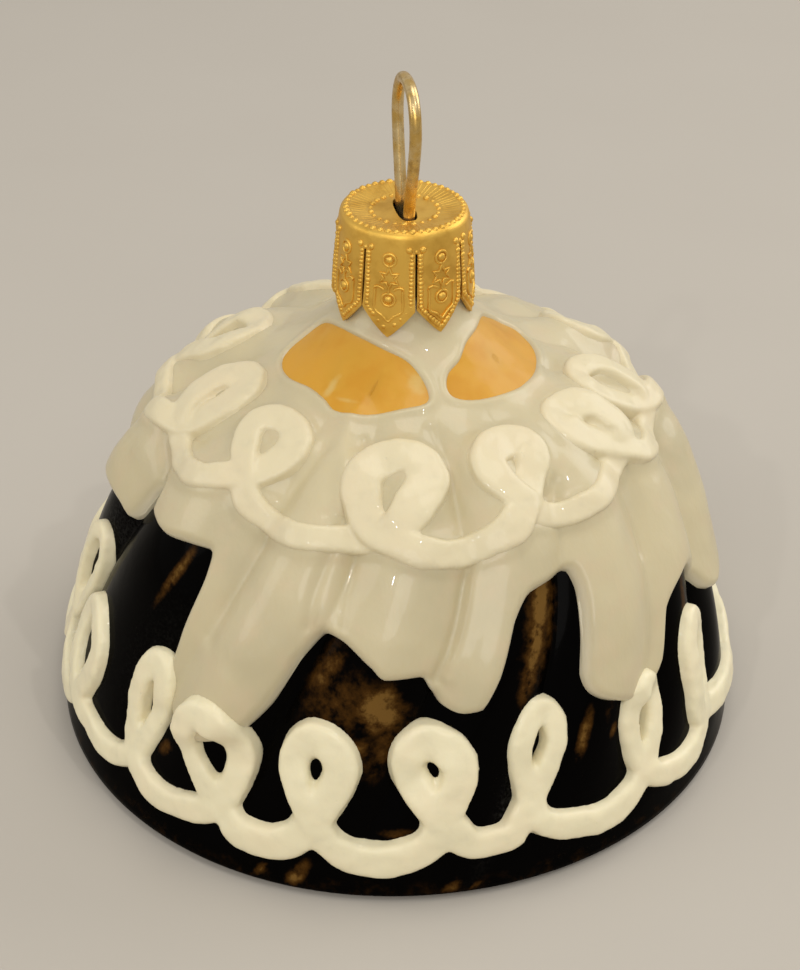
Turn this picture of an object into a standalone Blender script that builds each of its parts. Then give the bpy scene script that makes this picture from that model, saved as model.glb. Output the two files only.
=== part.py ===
"""Blown-glass Christmas ornament in the shape of an iced bundt cake.

Metres, +Z up. The origin is the middle of the flat foot, and -Y is the front.
Places on the dome are given by a bearing in degrees, 0 at the front and turning
towards +X, and by a climb: millimetres along the dome's side from the foot edge.
"""
import bpy
import numpy as np
from math import copysign, cos, degrees, pi, radians, sin, tan

MM = 0.001

# Glass body: side of the smooth dome as (radius, height), then the neck.
DOME_SIDE = ((30.0, 0.6), (29.6, 3.0), (28.8, 6.5), (27.6, 10.6), (26.1, 15.3), (24.3, 20.0),
             (21.7, 24.5), (18.7, 28.0), (15.4, 30.3), (12.2, 31.9), (9.2, 33.5), (7.0, 35.1),
             (5.3, 36.8), (4.5, 38.6))
FOOT_RADIUS = 28.8
NECK_RADIUS = 4.4
NECK_TOP = 45.0
BORE_RADIUS = 3.3
BORE_FLOOR = 39.5
BODY_CLIMBS = (0.0, 4.0, 9.0, 14.0, 19.0, 23.5, 27.0, 30.0, 33.0, 36.5, 40.0, 43.0, 45.0, 46.5)
COLUMNS_A_FLUTE = 4

# Flutes: uneven valleys, by bearing, that swirl as they climb.
FLUTE_VALLEYS = (-94.0, -69.5, -33.5, -13.0, 11.0, 33.5, 57.0, 80.0, 103.0, 126.5, 149.5, 173.0,
                 196.0, 219.5, 243.0, 266.0)
FLUTE_RELIEF = 0.95
SWIRL = 0.9  # degrees of bearing for each mm of height
SWIRL_LEVEL = 22.0
SWIRL_STOP = 26.0

# Icing: its lower edge as (bearing, height) round one half; the other half runs alike.
ICING_GAP = 0.7  # clearance under the icing, whose flat facets span the flutes, mm
ICING_THICK = 0.9
ICING_NECK_THICK = 0.45
ICING_LIP = 1.0
ICING_TOP = 36.6  # height of its upper rim, under the cap's tabs
ICING_SHARES = (0.0, 0.06, 0.15, 0.3, 0.47, 0.65, 0.83, 1.0)  # outer rows, from the top down to the lip
ICING_INNER_SHARES = (0.0, 0.2, 0.38, 0.58, 0.8, 1.0)
PETAL_ZONE = (36.5, 38.5)  # climb over which the icing thins towards the neck
ICING_EDGE = ((-81.0, 20.6), (-76.0, 20.4), (-71.5, 20.3), (-69.0, 21.4), (-66.3, 24.8), (-62.0, 23.6),
              (-55.0, 23.3), (-48.0, 23.8), (-43.0, 24.1), (-41.0, 22.5), (-38.6, 17.5), (-35.4, 12.6),
              (-31.0, 11.2), (-25.0, 10.2), (-19.0, 11.4), (-15.6, 15.0), (-14.8, 19.0), (-12.6, 21.1),
              (-9.8, 20.9), (-2.2, 19.3), (1.4, 18.4), (7.2, 18.5), (10.1, 17.4), (13.2, 16.2),
              (17.0, 15.6), (20.0, 15.8), (21.5, 18.0), (22.3, 21.8), (25.0, 23.3), (30.5, 23.6),
              (35.0, 23.8), (37.0, 22.5), (38.3, 19.3), (39.2, 16.2), (42.0, 14.5), (47.5, 13.2),
              (54.0, 12.2), (59.0, 12.3), (61.1, 13.5), (62.2, 17.2), (66.0, 18.3), (69.0, 18.6),
              (74.0, 17.3), (80.0, 15.6), (85.0, 13.6), (91.5, 13.4), (99.0, 20.6))
WIDEST_COLUMN = 7.5  # degrees between two columns
TALLEST_STEP = 5.0  # mm of edge height between two columns

# Piped ribbons. A loop is (bearing, climb, half width, half height, lean, strand width),
# and a swag is the low point (bearing, climb) that comes before the loop.
PIPING_HEIGHT = 1.1
TOP_LOOPS = ((-110.5, 34.6, 2.9, 2.7, 0.0, 2.3), (-71.0, 34.5, 1.8, 2.9, 0.0, 2.6),
             (-39.0, 34.3, 2.2, 2.4, -8.0, 2.2), (-1.5, 33.0, 2.8, 2.8, 8.0, 2.35),
             (30.5, 33.3, 2.2, 2.6, 18.0, 2.9), (65.0, 33.5, 2.3, 2.4, -20.0, 2.6),
             (101.0, 34.0, 2.7, 2.6, 0.0, 2.3), (139.0, 33.4, 2.2, 2.8, 10.0, 2.5),
             (176.0, 33.2, 2.8, 2.7, 0.0, 2.3), (212.0, 34.0, 2.1, 2.5, -10.0, 2.6))
TOP_SWAGS = ((-130.0, 29.4), (-87.0, 29.2), (-62.0, 29.6), (-22.0, 28.4), (7.0, 27.9), (42.0, 28.5),
             (76.0, 29.2), (114.0, 28.8), (158.0, 28.4), (193.0, 28.8))
TOP_STRAND = (1.8, 0.4)  # width in the swags, and lift where a strand crosses over another, mm
BASE_LOOPS = ((-66.5, 9.6, 3.2, 3.5, 0.0, 2.2), (-46.5, 10.4, 1.3, 4.2, 6.0, 2.3),
              (-30.5, 9.8, 2.3, 3.3, -12.0, 2.3), (-12.5, 10.8, 1.8, 2.7, 0.0, 2.6),
              (6.3, 11.0, 1.9, 2.4, -8.0, 2.9), (24.3, 11.5, 1.4, 2.9, 12.0, 2.3),
              (46.0, 9.9, 1.7, 3.1, 8.0, 2.4), (64.0, 10.5, 2.0, 4.2, 0.0, 2.5))
BASE_SWAGS = ((-78.0, 3.0), (-54.0, 3.0), (-39.0, 2.7), (-21.5, 2.8), (-3.0, 2.6), (15.5, 3.9),
              (34.0, 2.7), (55.0, 2.8))
BASE_LOOP_COUNT = 19
BASE_STRAND = (2.2, 0.33)
LOOP_ANGLES = (-70, -22, 15, 52, 90, 128, 165, 202, 250)
SWAG_HALF = 1.3  # half the flat of a swag, mm
STRAND_SECTION = ((-0.5, 0.0), (0.5, 0.0), (0.3, 1.0), (-0.3, 1.0))  # (across, up)
STRAND_STEP = 2.9  # longest stretch between sections, mm
STRAND_TURN = 58.0  # greatest turn between sections, degrees
STRAND_END = 0.6  # size of a strand's two ends, which sit inside its neighbours
COVER_REACH = 1.8  # how far round a strand's middle the icing under it is felt for, mm
PIPING_GAP = 0.75  # clearance under the piping, whose flat undersides span the flutes, mm

# Orange petals round the neck, each (bearing, half span), with a long rounded outline.
PETALS = ((-31.0, 44.0), (62.5, 39.5), (181.0, 40.0))
PETAL_CLIMB = 42.2  # of the two side corners
PETAL_DROP = 3.1
PETAL_RISE = 3.4
PETAL_THICK = 0.7
PETAL_GAP = 0.5  # clearance under a petal, mm
PETAL_COLUMNS = 8
PETAL_ROWS = 2

# Metal cap with eight pointed tabs, and the wire loop.
CAP_TABS = 8
CAP_SLOT_BEARING = 10.8  # bearing of the slit between two tabs
CAP_SLIT_HALF = 2.2  # degrees
CAP_SHEET = 0.35
CAP_TOP = 46.3
CAP_TOP_RINGS = ((2.9, -0.25), (3.9, -0.2), (4.67, 0.0), (5.1, -0.35), (5.25, -0.8), (5.35, -1.6))
CAP_TAB_RINGS = ((5.55, -4.4), (5.7, -6.4))
CAP_TAB_TIP = ((5.76, -7.1), (5.77, -8.8))  # corner, tip
CAP_SLOT_LENGTH = 4.2
CAP_SLOT_WIDTH = 1.6
WIRE_RADIUS = 0.4
WIRE_BEARING = 13.0
WIRE_HALF_LOOP = ((2.3, 40.6), (1.75, 42.6), (1.3, 45.0), (1.3, 46.6), (1.95, 49.0), (2.8, 51.6),
                  (3.15, 53.9), (2.75, 55.9), (1.6, 57.0), (0.0, 57.3))

CHOCOLATE_GLASS = ("chocolate_glass", (0.012, 0.007, 0.004), 0.12, 0.0)
IVORY_ICING = ("ivory_icing", (0.62, 0.54, 0.36), 0.18, 0.0)
CREAM_PIPING = ("cream_piping", (0.66, 0.57, 0.38), 0.4, 0.0)
ORANGE_GLAZE = ("orange_glaze", (0.66, 0.30, 0.06), 0.2, 0.0)
GOLD_CAP = ("gold_cap", (0.72, 0.42, 0.10), 0.32, 1.0)
WORN_WIRE = ("worn_wire", (0.42, 0.36, 0.25), 0.35, 1.0)


def clear_scene():
    for item in list(bpy.data.objects):
        bpy.data.objects.remove(item, do_unlink=True)


def make_material(finish):
    name, colour, roughness, metallic = finish
    material = bpy.data.materials.new(name)
    material.use_nodes = True
    shader = material.node_tree.nodes["Principled BSDF"]
    shader.inputs["Base Color"].default_value = (*colour, 1.0)
    shader.inputs["Roughness"].default_value = roughness
    shader.inputs["Metallic"].default_value = metallic
    material.diffuse_color = (*colour, 1.0)
    return material


def add_object(name, points, faces, finish, smooth=True):
    mesh = bpy.data.meshes.new(name)
    mesh.from_pydata([tuple(p) for p in points], [], faces)
    mesh.validate()
    thing = bpy.data.objects.new(name, mesh)
    bpy.context.scene.collection.objects.link(thing)
    if finish:
        mesh.materials.append(make_material(finish))
    if smooth:
        mesh.shade_smooth()
        mesh.set_sharp_from_angle(angle=radians(50))
    return thing


def smooth_step(low, high, value):
    t = min(max((value - low) / (high - low), 0.0), 1.0)
    return t * t * (3.0 - 2.0 * t)


def smooth_path(points, steps):
    """Points on a Catmull-Rom curve through the given ones, ends included."""
    rows = [np.array(p, float) for p in points]
    padded = [2 * rows[0] - rows[1]] + rows + [2 * rows[-1] - rows[-2]]
    path = []
    for a, b, c, d in zip(padded, padded[1:], padded[2:], padded[3:]):
        for t in np.linspace(0, 1, steps, endpoint=False):
            path.append(0.5 * (2 * b + (c - a) * t + (2 * a - 5 * b + 4 * c - d) * t ** 2
                               + (3 * b - a - 3 * c + d) * t ** 3))
    path.append(rows[-1])
    return np.array(path)


# The dome's side as tables over climb.
SIDE = smooth_path(DOME_SIDE, 30)
CLIMB = np.concatenate([[0.0], np.cumsum(np.hypot(*np.diff(SIDE, axis=0).T))])
SLOPE = np.gradient(SIDE, CLIMB, axis=0)
SLOPE /= np.linalg.norm(SLOPE, axis=1, keepdims=True)


def radius_at(climb):
    return float(np.interp(climb, CLIMB, SIDE[:, 0]))


def height_at(climb):
    return float(np.interp(climb, CLIMB, SIDE[:, 1]))


def climb_at(height):
    return float(np.interp(height, SIDE[:, 1], CLIMB))


def swirl_at(height):
    """Degrees that the flutes have turned at this height."""
    return SWIRL * (min(height, SWIRL_STOP) - SWIRL_LEVEL)


def flute_relief(bearing, height):
    """Rise of the fluted side above the smooth dome, mm."""
    along = (bearing - swirl_at(height) - FLUTE_VALLEYS[0]) % 360 + FLUTE_VALLEYS[0]
    left = max(v for v in FLUTE_VALLEYS[:-1] if v <= along)
    right = min(v for v in FLUTE_VALLEYS[1:] if v > along)
    crown = 1.6 * max(sin(pi * (along - left) / (right - left)), 0.0) ** 0.8 - 1.15
    depth = smooth_step(1.5, 11.0, height) * (1 - smooth_step(27.5, 34.0, height))
    return crown * depth * FLUTE_RELIEF


def monotone_slopes(x, y):
    step = np.diff(y) / np.diff(x)
    middle = [2 * a * b / (a + b) if a * b > 0 else 0.0 for a, b in zip(step, step[1:])]
    return np.array([0.0] + middle + [0.0])


EDGE_X, EDGE_Y = (np.array(column) for column in zip(*ICING_EDGE))
EDGE_SLOPE = monotone_slopes(EDGE_X, EDGE_Y)


def icing_edge(bearing):
    """Height of the icing's lower edge; bearing is taken without the swirl."""
    along = (bearing - EDGE_X[0]) % 180 + EDGE_X[0]
    i = min(int(np.searchsorted(EDGE_X, along, side="right")) - 1, len(EDGE_X) - 2)
    width = EDGE_X[i + 1] - EDGE_X[i]
    t = (along - EDGE_X[i]) / width
    return ((1 + 2 * t) * (1 - t) ** 2 * EDGE_Y[i] + t * (1 - t) ** 2 * width * EDGE_SLOPE[i]
            + t * t * (3 - 2 * t) * EDGE_Y[i + 1] + t * t * (t - 1) * width * EDGE_SLOPE[i + 1])


def icing_thickness(bearing, climb):
    """Thickness of the icing, 0 below its edge; bearing is the true one."""
    edge = climb_at(icing_edge(bearing - swirl_at(height_at(climb))))
    inside = min(max((climb - edge) / ICING_LIP, 0.0), 1.0)
    full = ICING_THICK + (ICING_NECK_THICK - ICING_THICK) * smooth_step(*PETAL_ZONE, climb)
    return full * (1 - (1 - inside) ** 2) ** 0.5


def on_dome(bearing, climb, lift):
    """Point lifted square off the fluted side by lift mm."""
    slope_r, slope_z = (float(np.interp(climb, CLIMB, SLOPE[:, k])) for k in (0, 1))
    rise = lift + flute_relief(bearing, height_at(climb))
    radius = radius_at(climb) + slope_z * rise
    height = height_at(climb) - slope_r * rise
    angle = radians(bearing)
    return np.array((radius * sin(angle), -radius * cos(angle), height)) * MM


def flute_columns():
    """Bearings, without the swirl, at the same few places in each flute."""
    columns = []
    for left, right in zip(FLUTE_VALLEYS, FLUTE_VALLEYS[1:]):
        columns += [left + (right - left) * k / COLUMNS_A_FLUTE for k in range(COLUMNS_A_FLUTE)]
    return columns


def ring_faces(rings, columns, closed_ends=True):
    """Quads between rings of points that run round the object, with flat ends."""
    faces = []
    for r in range(rings - 1):
        for c in range(columns):
            d = (c + 1) % columns
            faces.append((r * columns + c, r * columns + d, (r + 1) * columns + d, (r + 1) * columns + c))
    if closed_ends:
        faces.append(tuple(reversed(range(columns))))
        faces.append(tuple(range((rings - 1) * columns, rings * columns)))
    return faces


def turned_ring(columns, radius, height, level):
    """Round ring whose columns carry on the flutes' swirl at the given level."""
    angles = [radians(bearing + swirl_at(level)) for bearing in columns]
    return [np.array((radius * sin(a), -radius * cos(a), height)) * MM for a in angles]


def make_body():
    """Fluted dome on a flat foot, with a bored neck for the cap and the wire."""
    columns = flute_columns()
    points = turned_ring(columns, FOOT_RADIUS, 0.0, SIDE[0, 1])
    for climb in BODY_CLIMBS + (CLIMB[-1],):
        turn = swirl_at(height_at(climb))
        points += [on_dome(bearing + turn, climb, 0.0) for bearing in columns]
    neck = ((NECK_RADIUS, SIDE[-1, 1] + 0.6), (NECK_RADIUS, NECK_TOP), (BORE_RADIUS, NECK_TOP),
            (BORE_RADIUS, BORE_FLOOR))
    for radius, height in neck:
        points += turned_ring(columns, radius, height, SWIRL_STOP)
    faces = ring_faces(len(BODY_CLIMBS) + 2 + len(neck), len(columns))
    return add_object("cake_body", points, faces, CHOCOLATE_GLASS)


def icing_columns():
    """Bearings at every valley and turn of the edge, and between where it runs far or steeply."""
    start = EDGE_X[0]
    turns = list(EDGE_X) + [x + 180 for x in EDGE_X[1:]]
    valleys = [(valley - start) % 360 + start for valley in FLUTE_VALLEYS[1:]]
    marks = sorted(set(turns + valleys))
    columns = []
    for left, right in zip(marks, marks[1:]):
        drop = abs(icing_edge(left) - icing_edge(right))
        count = int(np.ceil(max((right - left) / WIDEST_COLUMN, drop / TALLEST_STEP)))
        columns += [left + (right - left) * k / count for k in range(count)]
    return columns


def icing_ring(columns, share, above_edge, outside):
    """Ring at a share of the way from the icing's top to a line above its edge."""
    top = climb_at(ICING_TOP)
    ring = []
    for bearing in columns:
        low = climb_at(icing_edge(bearing)) + above_edge
        climb = top + (low - top) * share
        true_bearing = bearing + swirl_at(height_at(climb))
        lift = ICING_GAP + (icing_thickness(true_bearing, climb) if outside else 0.0)
        ring.append(on_dome(true_bearing, climb, lift))
    return ring


def make_icing():
    """Glaze that hugs the flutes, from under the cap down to its run of drips."""
    columns = icing_columns()
    count = len(columns)
    rings = [icing_ring(columns, share, ICING_LIP, True) for share in ICING_SHARES]
    rings += [icing_ring(columns, 1.0, ICING_LIP * rest, True) for rest in (0.3, 0.02)]
    rings += [icing_ring(columns, share, 0.02, False) for share in ICING_INNER_SHARES[::-1]]
    faces = ring_faces(len(rings), count, closed_ends=False)
    last = (len(rings) - 1) * count
    faces += [(last + c, last + (c + 1) % count, (c + 1) % count, c) for c in range(count)]
    points = [p for ring in rings for p in ring]
    return add_object("icing", points, [tuple(reversed(f)) for f in faces], IVORY_ICING)


def cover_at(bearing, climb):
    """Height of the icing's surface within a strand's half width, 0 on bare glass, mm."""
    highest = 0.0
    for k in range(9):
        x, y = (0.0, 0.0) if k == 8 else (COVER_REACH * cos(k * pi / 4), COVER_REACH * sin(k * pi / 4))
        thickness = icing_thickness(bearing + degrees(x / radius_at(climb)), climb + y)
        if thickness > 0:
            highest = max(highest, ICING_GAP + thickness)
    return highest


def swag_points(low, strand):
    """The flat bottom of a swag, from its left end to its right."""
    shift = degrees(SWAG_HALF / radius_at(low[1]))
    return [(low[0] - shift, low[1], strand), (low[0] + shift, low[1], strand)]


def loop_path(loop, low, next_low, strand):
    """Centre line (bearing, climb, width) from one swag, round a loop, to the next swag."""
    bearing, climb, half_width, half_height, lean, width = loop
    path = swag_points(low, strand)
    for angle in LOOP_ANGLES:
        x = half_width * cos(radians(angle))
        y = half_height * sin(radians(angle))
        wide = width
        if angle in (LOOP_ANGLES[0], LOOP_ANGLES[-1]):  # under the loop, where it crosses itself
            x = copysign(0.22 * half_width, x)
            y = -half_height - 0.7
            wide = (width + strand) / 2
        elif y < 0:
            x *= 0.9
        x += y * tan(radians(lean))
        path.append((bearing + degrees(x / radius_at(climb + y)), climb + y, wide))
    return path + swag_points(next_low, strand)


def thin_out(path):
    """Smooth curve through the path, with points only where it runs far or turns."""
    dense = smooth_path(path, 5)
    flat = np.array([(radians(b) * radius_at(c), c) for b, c, _ in dense])
    kept = [0]
    for i in range(1, len(dense) - 1):
        run = flat[i + 1] - flat[i]
        start = flat[kept[-1] + 1] - flat[kept[-1]]
        turn = abs(degrees(np.arctan2(run[0] * start[1] - run[1] * start[0], run @ start)))
        if turn > STRAND_TURN or np.linalg.norm(flat[i] - flat[kept[-1]]) > STRAND_STEP:
            kept.append(i)
    return [tuple(dense[i]) for i in kept + [len(dense) - 1]]


def strand_mesh(path, most_over):
    """Points and faces of a flattened strand that rises over its neighbour before it sinks."""
    points = []
    for i, (bearing, climb, width) in enumerate(path):
        before = path[max(i - 1, 0)]
        after = path[min(i + 1, len(path) - 1)]
        run = np.array((radians(after[0] - before[0]) * radius_at(climb), after[1] - before[1]))
        run /= np.linalg.norm(run)
        over = most_over * max(sin(2 * pi * i / (len(path) - 1)), 0.0)
        size = STRAND_END if i in (0, len(path) - 1) else 1.0
        lift = PIPING_GAP + cover_at(bearing, climb) + over + (1 - size) / 2 * PIPING_HEIGHT
        for across, up in STRAND_SECTION:
            side = across * width * size
            place = bearing - degrees(side * run[1] / radius_at(climb))
            points.append(on_dome(place, climb + side * run[0], lift + up * size * PIPING_HEIGHT))
    return points, ring_faces(len(path), len(STRAND_SECTION))


def union_of(group, name, finish):
    """One solid from all the objects of a collection, which is then removed."""
    parts = list(group.objects)
    whole = add_object(name, [], [], finish, smooth=False)
    whole.data = parts[0].data.copy()
    whole.data.materials.append(make_material(finish))
    bpy.data.objects.remove(parts[0], do_unlink=True)
    cut = whole.modifiers.new("fuse", "BOOLEAN")
    cut.operation = "UNION"
    cut.solver = "MANIFOLD"
    cut.operand_type = "COLLECTION"
    cut.collection = group
    evaluated = whole.evaluated_get(bpy.context.evaluated_depsgraph_get())
    mesh = bpy.data.meshes.new_from_object(evaluated)
    whole.modifiers.remove(cut)
    whole.data = mesh
    mesh.name = name
    for part in list(group.objects):
        bpy.data.objects.remove(part, do_unlink=True)
    bpy.data.collections.remove(group)
    mesh.shade_smooth()
    mesh.set_sharp_from_angle(angle=radians(50))
    return whole


def make_piping(name, loops, swags, strand):
    """Ring of strands that each run from one loop's top to the next's, fused by one union."""
    group = bpy.data.collections.new(name + "_strands")
    bpy.context.scene.collection.children.link(group)
    lows = list(swags) + [(swags[0][0] + 360, swags[0][1])]
    width, over = strand
    paths = [loop_path(loop, lows[i], lows[i + 1], width) for i, loop in enumerate(loops)]
    paths.append([(bearing + 360, climb, width) for bearing, climb, width in paths[0]])
    top = len(paths[0]) // 2
    for path, following in zip(paths, paths[1:]):
        points, faces = strand_mesh(thin_out(path[top - 1:] + following[2:top + 1]), over)
        strand_piece = add_object(f"{name}_strand", points, faces, None, smooth=False)
        bpy.context.scene.collection.objects.unlink(strand_piece)
        group.objects.link(strand_piece)
    return union_of(group, name, CREAM_PIPING)


def base_ring():
    """Loops and swags of the base ring; the far side repeats the near one's shapes."""
    loops = list(BASE_LOOPS)
    swags = list(BASE_SWAGS)
    hidden = BASE_LOOP_COUNT - len(loops)
    first = loops[-1][0]
    pitch = (loops[0][0] + 360 - first) / (hidden + 1)
    for k in range(hidden):
        like = BASE_LOOPS[(3 * k + 2) % len(BASE_LOOPS)]
        bearing = first + pitch * (k + 1)
        loops.append((bearing,) + like[1:])
        swags.append((bearing - pitch / 2, BASE_SWAGS[(3 * k + 2) % len(BASE_SWAGS)][1]))
    swags[0] = (loops[0][0] - pitch / 2, swags[0][1])
    return loops, swags


def petal_point(middle, half_span, across, along, lift):
    """Point of a petal: across is -1 to 1 from side to side, along 0 to 1 up the dome."""
    reach = max(1 - abs(across) ** 2.6, 0.06) ** (1 / 2.2)
    climb = PETAL_CLIMB + reach * ((PETAL_DROP + PETAL_RISE) * along - PETAL_DROP)
    bearing = middle + half_span * across
    return on_dome(bearing, climb, ICING_GAP + PETAL_GAP + icing_thickness(bearing, climb) + lift)


def make_petal(index):
    """Glossy field, almond shaped, that wraps part of the way round the neck."""
    middle, half_span = PETALS[index]
    acrosses = [sin(pi / 2 * t) for t in np.linspace(-1, 1, PETAL_COLUMNS + 1)]
    alongs = np.linspace(0, 1, PETAL_ROWS + 1)
    sheets = []
    for lift in (0.0, PETAL_THICK):
        sheets.append([petal_point(middle, half_span, across, along, lift)
                       for along in alongs for across in acrosses])
    wide = len(acrosses)
    size = wide * len(alongs)
    faces = []
    for row in range(PETAL_ROWS):
        for column in range(PETAL_COLUMNS):
            a = row * wide + column
            faces.append((a, a + wide, a + wide + 1, a + 1))
            faces.append((size + a, size + a + 1, size + a + wide + 1, size + a + wide))
    rim = ([c for c in range(wide)] + [r * wide + wide - 1 for r in range(1, PETAL_ROWS + 1)]
           + [PETAL_ROWS * wide + c for c in range(wide - 2, -1, -1)]
           + [r * wide for r in range(PETAL_ROWS - 1, 0, -1)])
    for a, b in zip(rim, rim[1:] + rim[:1]):
        faces.append((a, b, size + b, size + a))
    return add_object(f"orange_petal_{index + 1}", sheets[0] + sheets[1], faces, ORANGE_GLAZE)


def cap_columns():
    """Bearings of the cap's columns: edge, middle and edge of each tab."""
    pitch = 360 / CAP_TABS
    half = pitch / 2 - CAP_SLIT_HALF
    columns = []
    for tab in range(CAP_TABS):
        middle = CAP_SLOT_BEARING + pitch * (tab + 0.5)
        columns += [middle - half, middle, middle + half]
    return columns


def make_cap():
    """Crown of thin sheet with pointed tabs, and a slot in its top for the wire."""
    columns = cap_columns()
    count = len(columns)
    points = []
    turn = radians(WIRE_BEARING)
    for bearing in columns:  # the slot's rim, a rectangle with round ends
        angle = radians(bearing) - turn
        x = CAP_SLOT_WIDTH / 2 * copysign(abs(sin(angle)) ** 0.6, sin(angle))
        y = -CAP_SLOT_LENGTH / 2 * copysign(abs(cos(angle)) ** 0.8, cos(angle))
        points.append(np.array((x * cos(turn) - y * sin(turn), x * sin(turn) + y * cos(turn),
                                CAP_TOP + CAP_TOP_RINGS[0][1])) * MM)

    def at(radius, drop, bearing):
        angle = radians(bearing)
        return np.array((radius * sin(angle), -radius * cos(angle), CAP_TOP + drop)) * MM

    for radius, drop in CAP_TOP_RINGS:
        points += [at(radius, drop, bearing) for bearing in columns]
    faces = ring_faces(len(CAP_TOP_RINGS) + 1, count, closed_ends=False)
    above = len(CAP_TOP_RINGS) * count
    for radius, drop in CAP_TAB_RINGS:
        here = len(points)
        points += [at(radius, drop, bearing) for bearing in columns]
        for tab in range(CAP_TABS):
            for c in range(tab * 3, tab * 3 + 2):
                faces.append((above + c, above + c + 1, here + c + 1, here + c))
        above = here
    here = len(points)
    for k, bearing in enumerate(columns):
        radius, drop = CAP_TAB_TIP[k % 3 == 1]
        points.append(at(radius, drop, bearing))
    for tab in range(CAP_TABS):
        for c in range(tab * 3, tab * 3 + 2):
            faces.append((above + c, above + c + 1, here + c + 1, here + c))
    cap = add_object("cap", points, [tuple(reversed(f)) for f in faces], GOLD_CAP)
    sheet = cap.modifiers.new("sheet", "SOLIDIFY")
    sheet.thickness = CAP_SHEET * MM
    sheet.offset = -1.0
    return cap


def make_hanger():
    """Wire loop whose two legs go down through the cap's slot into the neck."""
    turn = radians(WIRE_BEARING)
    half = [(y, z) for y, z in WIRE_HALF_LOOP]
    route = half + [(-y, z) for y, z in reversed(half[:-1])]
    route = smooth_path(route, 2)
    curve = bpy.data.curves.new("hanger", "CURVE")
    curve.dimensions = "3D"
    curve.bevel_depth = WIRE_RADIUS * MM
    curve.bevel_resolution = 1
    curve.use_fill_caps = True
    spline = curve.splines.new("POLY")
    spline.points.add(len(route) - 1)
    for point, (y, z) in zip(spline.points, route):
        point.co = (-y * sin(turn) * MM, y * cos(turn) * MM, z * MM, 1.0)
    hanger = bpy.data.objects.new("hanger", curve)
    bpy.context.scene.collection.objects.link(hanger)
    curve.materials.append(make_material(WORN_WIRE))
    return hanger


def main():
    clear_scene()
    make_body()
    make_icing()
    make_piping("curls_top", TOP_LOOPS, TOP_SWAGS, TOP_STRAND)
    make_piping("curls_base", *base_ring(), BASE_STRAND)
    for index in range(len(PETALS)):
        make_petal(index)
    make_cap()
    make_hanger()


main()
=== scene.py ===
import bmesh
import bpy
import numpy as np
from math import cos, degrees, pi, radians, sin
from mathutils import Matrix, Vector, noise


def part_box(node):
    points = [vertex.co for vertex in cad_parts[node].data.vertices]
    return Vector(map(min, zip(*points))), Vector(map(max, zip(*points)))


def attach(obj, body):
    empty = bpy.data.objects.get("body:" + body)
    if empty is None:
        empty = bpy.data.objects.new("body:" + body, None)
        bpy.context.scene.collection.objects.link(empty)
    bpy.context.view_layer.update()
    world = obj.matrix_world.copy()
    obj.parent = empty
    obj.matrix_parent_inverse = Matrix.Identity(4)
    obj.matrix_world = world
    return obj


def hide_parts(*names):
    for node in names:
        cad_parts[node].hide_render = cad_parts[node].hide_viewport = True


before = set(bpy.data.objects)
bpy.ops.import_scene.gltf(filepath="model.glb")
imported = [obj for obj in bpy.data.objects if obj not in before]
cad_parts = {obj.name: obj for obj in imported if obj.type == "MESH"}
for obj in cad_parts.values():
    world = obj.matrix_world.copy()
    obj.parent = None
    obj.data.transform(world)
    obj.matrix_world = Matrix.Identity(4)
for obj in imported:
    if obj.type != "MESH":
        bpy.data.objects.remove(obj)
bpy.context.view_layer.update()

# Blown-glass ornament shaped as an iced bundt cake. Places on the dome are given by a bearing in
# degrees, 0 at the front (-Y) and turning towards +X, and a climb: mm along the side from the foot.
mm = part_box("cake_body")[1][2] / 45.0  # the neck's top is 45 mm up


# the dome that everything lies on
dome = {
    # radius and height along the side, from the foot to the neck
    "side": ((30.0, 0.6), (29.6, 3.0), (28.8, 6.5), (27.6, 10.6), (26.1, 15.3), (24.3, 20.0),
             (21.7, 24.5), (18.7, 28.0), (15.4, 30.3), (12.2, 31.9), (9.2, 33.5), (7.0, 35.1),
             (5.3, 36.8), (4.5, 38.6), (4.4, 40.4), (4.4, 42.0)),
    "valleys": (-94.0, -69.5, -33.5, -13.0, 11.0, 33.5, 57.0, 80.0, 103.0, 126.5, 149.5, 173.0,
                196.0, 219.5, 243.0, 266.0),
    "relief": 0.95,
    "valleyShare": 0.72,  # how much of a flute's depth lies under the smooth dome
    "fluteStart": (1.5, 11.0),  # heights between which the flutes grow, and fade again
    "fluteEnd": (27.5, 34.0),
    "swirl": 0.9,  # degrees a mm of height
    "swirlLevel": 22.0,
    "swirlStop": 26.0,
}


def throughPoints(points, steps, closed=False):
    # Catmull-Rom curve through rows of numbers; an open one keeps both its ends
    rows = np.array(points, float)
    if closed:
        padded = np.vstack([rows[-1:], rows, rows[:2]])
    else:
        padded = np.vstack([2 * rows[0] - rows[1], rows, 2 * rows[-1] - rows[-2]])
    t = np.linspace(0, 1, steps, endpoint=False)[:, None]
    path = []
    for a, b, c, d in zip(padded, padded[1:], padded[2:], padded[3:]):
        path.append(0.5 * (2 * b + (c - a) * t + (2 * a - 5 * b + 4 * c - d) * t ** 2
                           + (3 * b - a - 3 * c + d) * t ** 3))
    return np.vstack(path if closed else path + [rows[-1:]])


side = throughPoints(dome["side"], 30)
sideClimb = np.concatenate([[0.0], np.cumsum(np.hypot(*np.diff(side, axis=0).T))])
sideSlope = np.gradient(side, sideClimb, axis=0)
sideSlope /= np.linalg.norm(sideSlope, axis=1, keepdims=True)


def radiusAt(climb):
    return np.interp(climb, sideClimb, side[:, 0])


def heightAt(climb):
    return np.interp(climb, sideClimb, side[:, 1])


def climbOf(height):
    return np.interp(height, side[:, 1], sideClimb)


def swirlOf(height):
    return dome["swirl"] * (np.minimum(height, dome["swirlStop"]) - dome["swirlLevel"])


def smoothStep(low, high, value):
    t = np.clip((value - low) / (high - low), 0, 1)
    return t * t * (3 - 2 * t)


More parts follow.
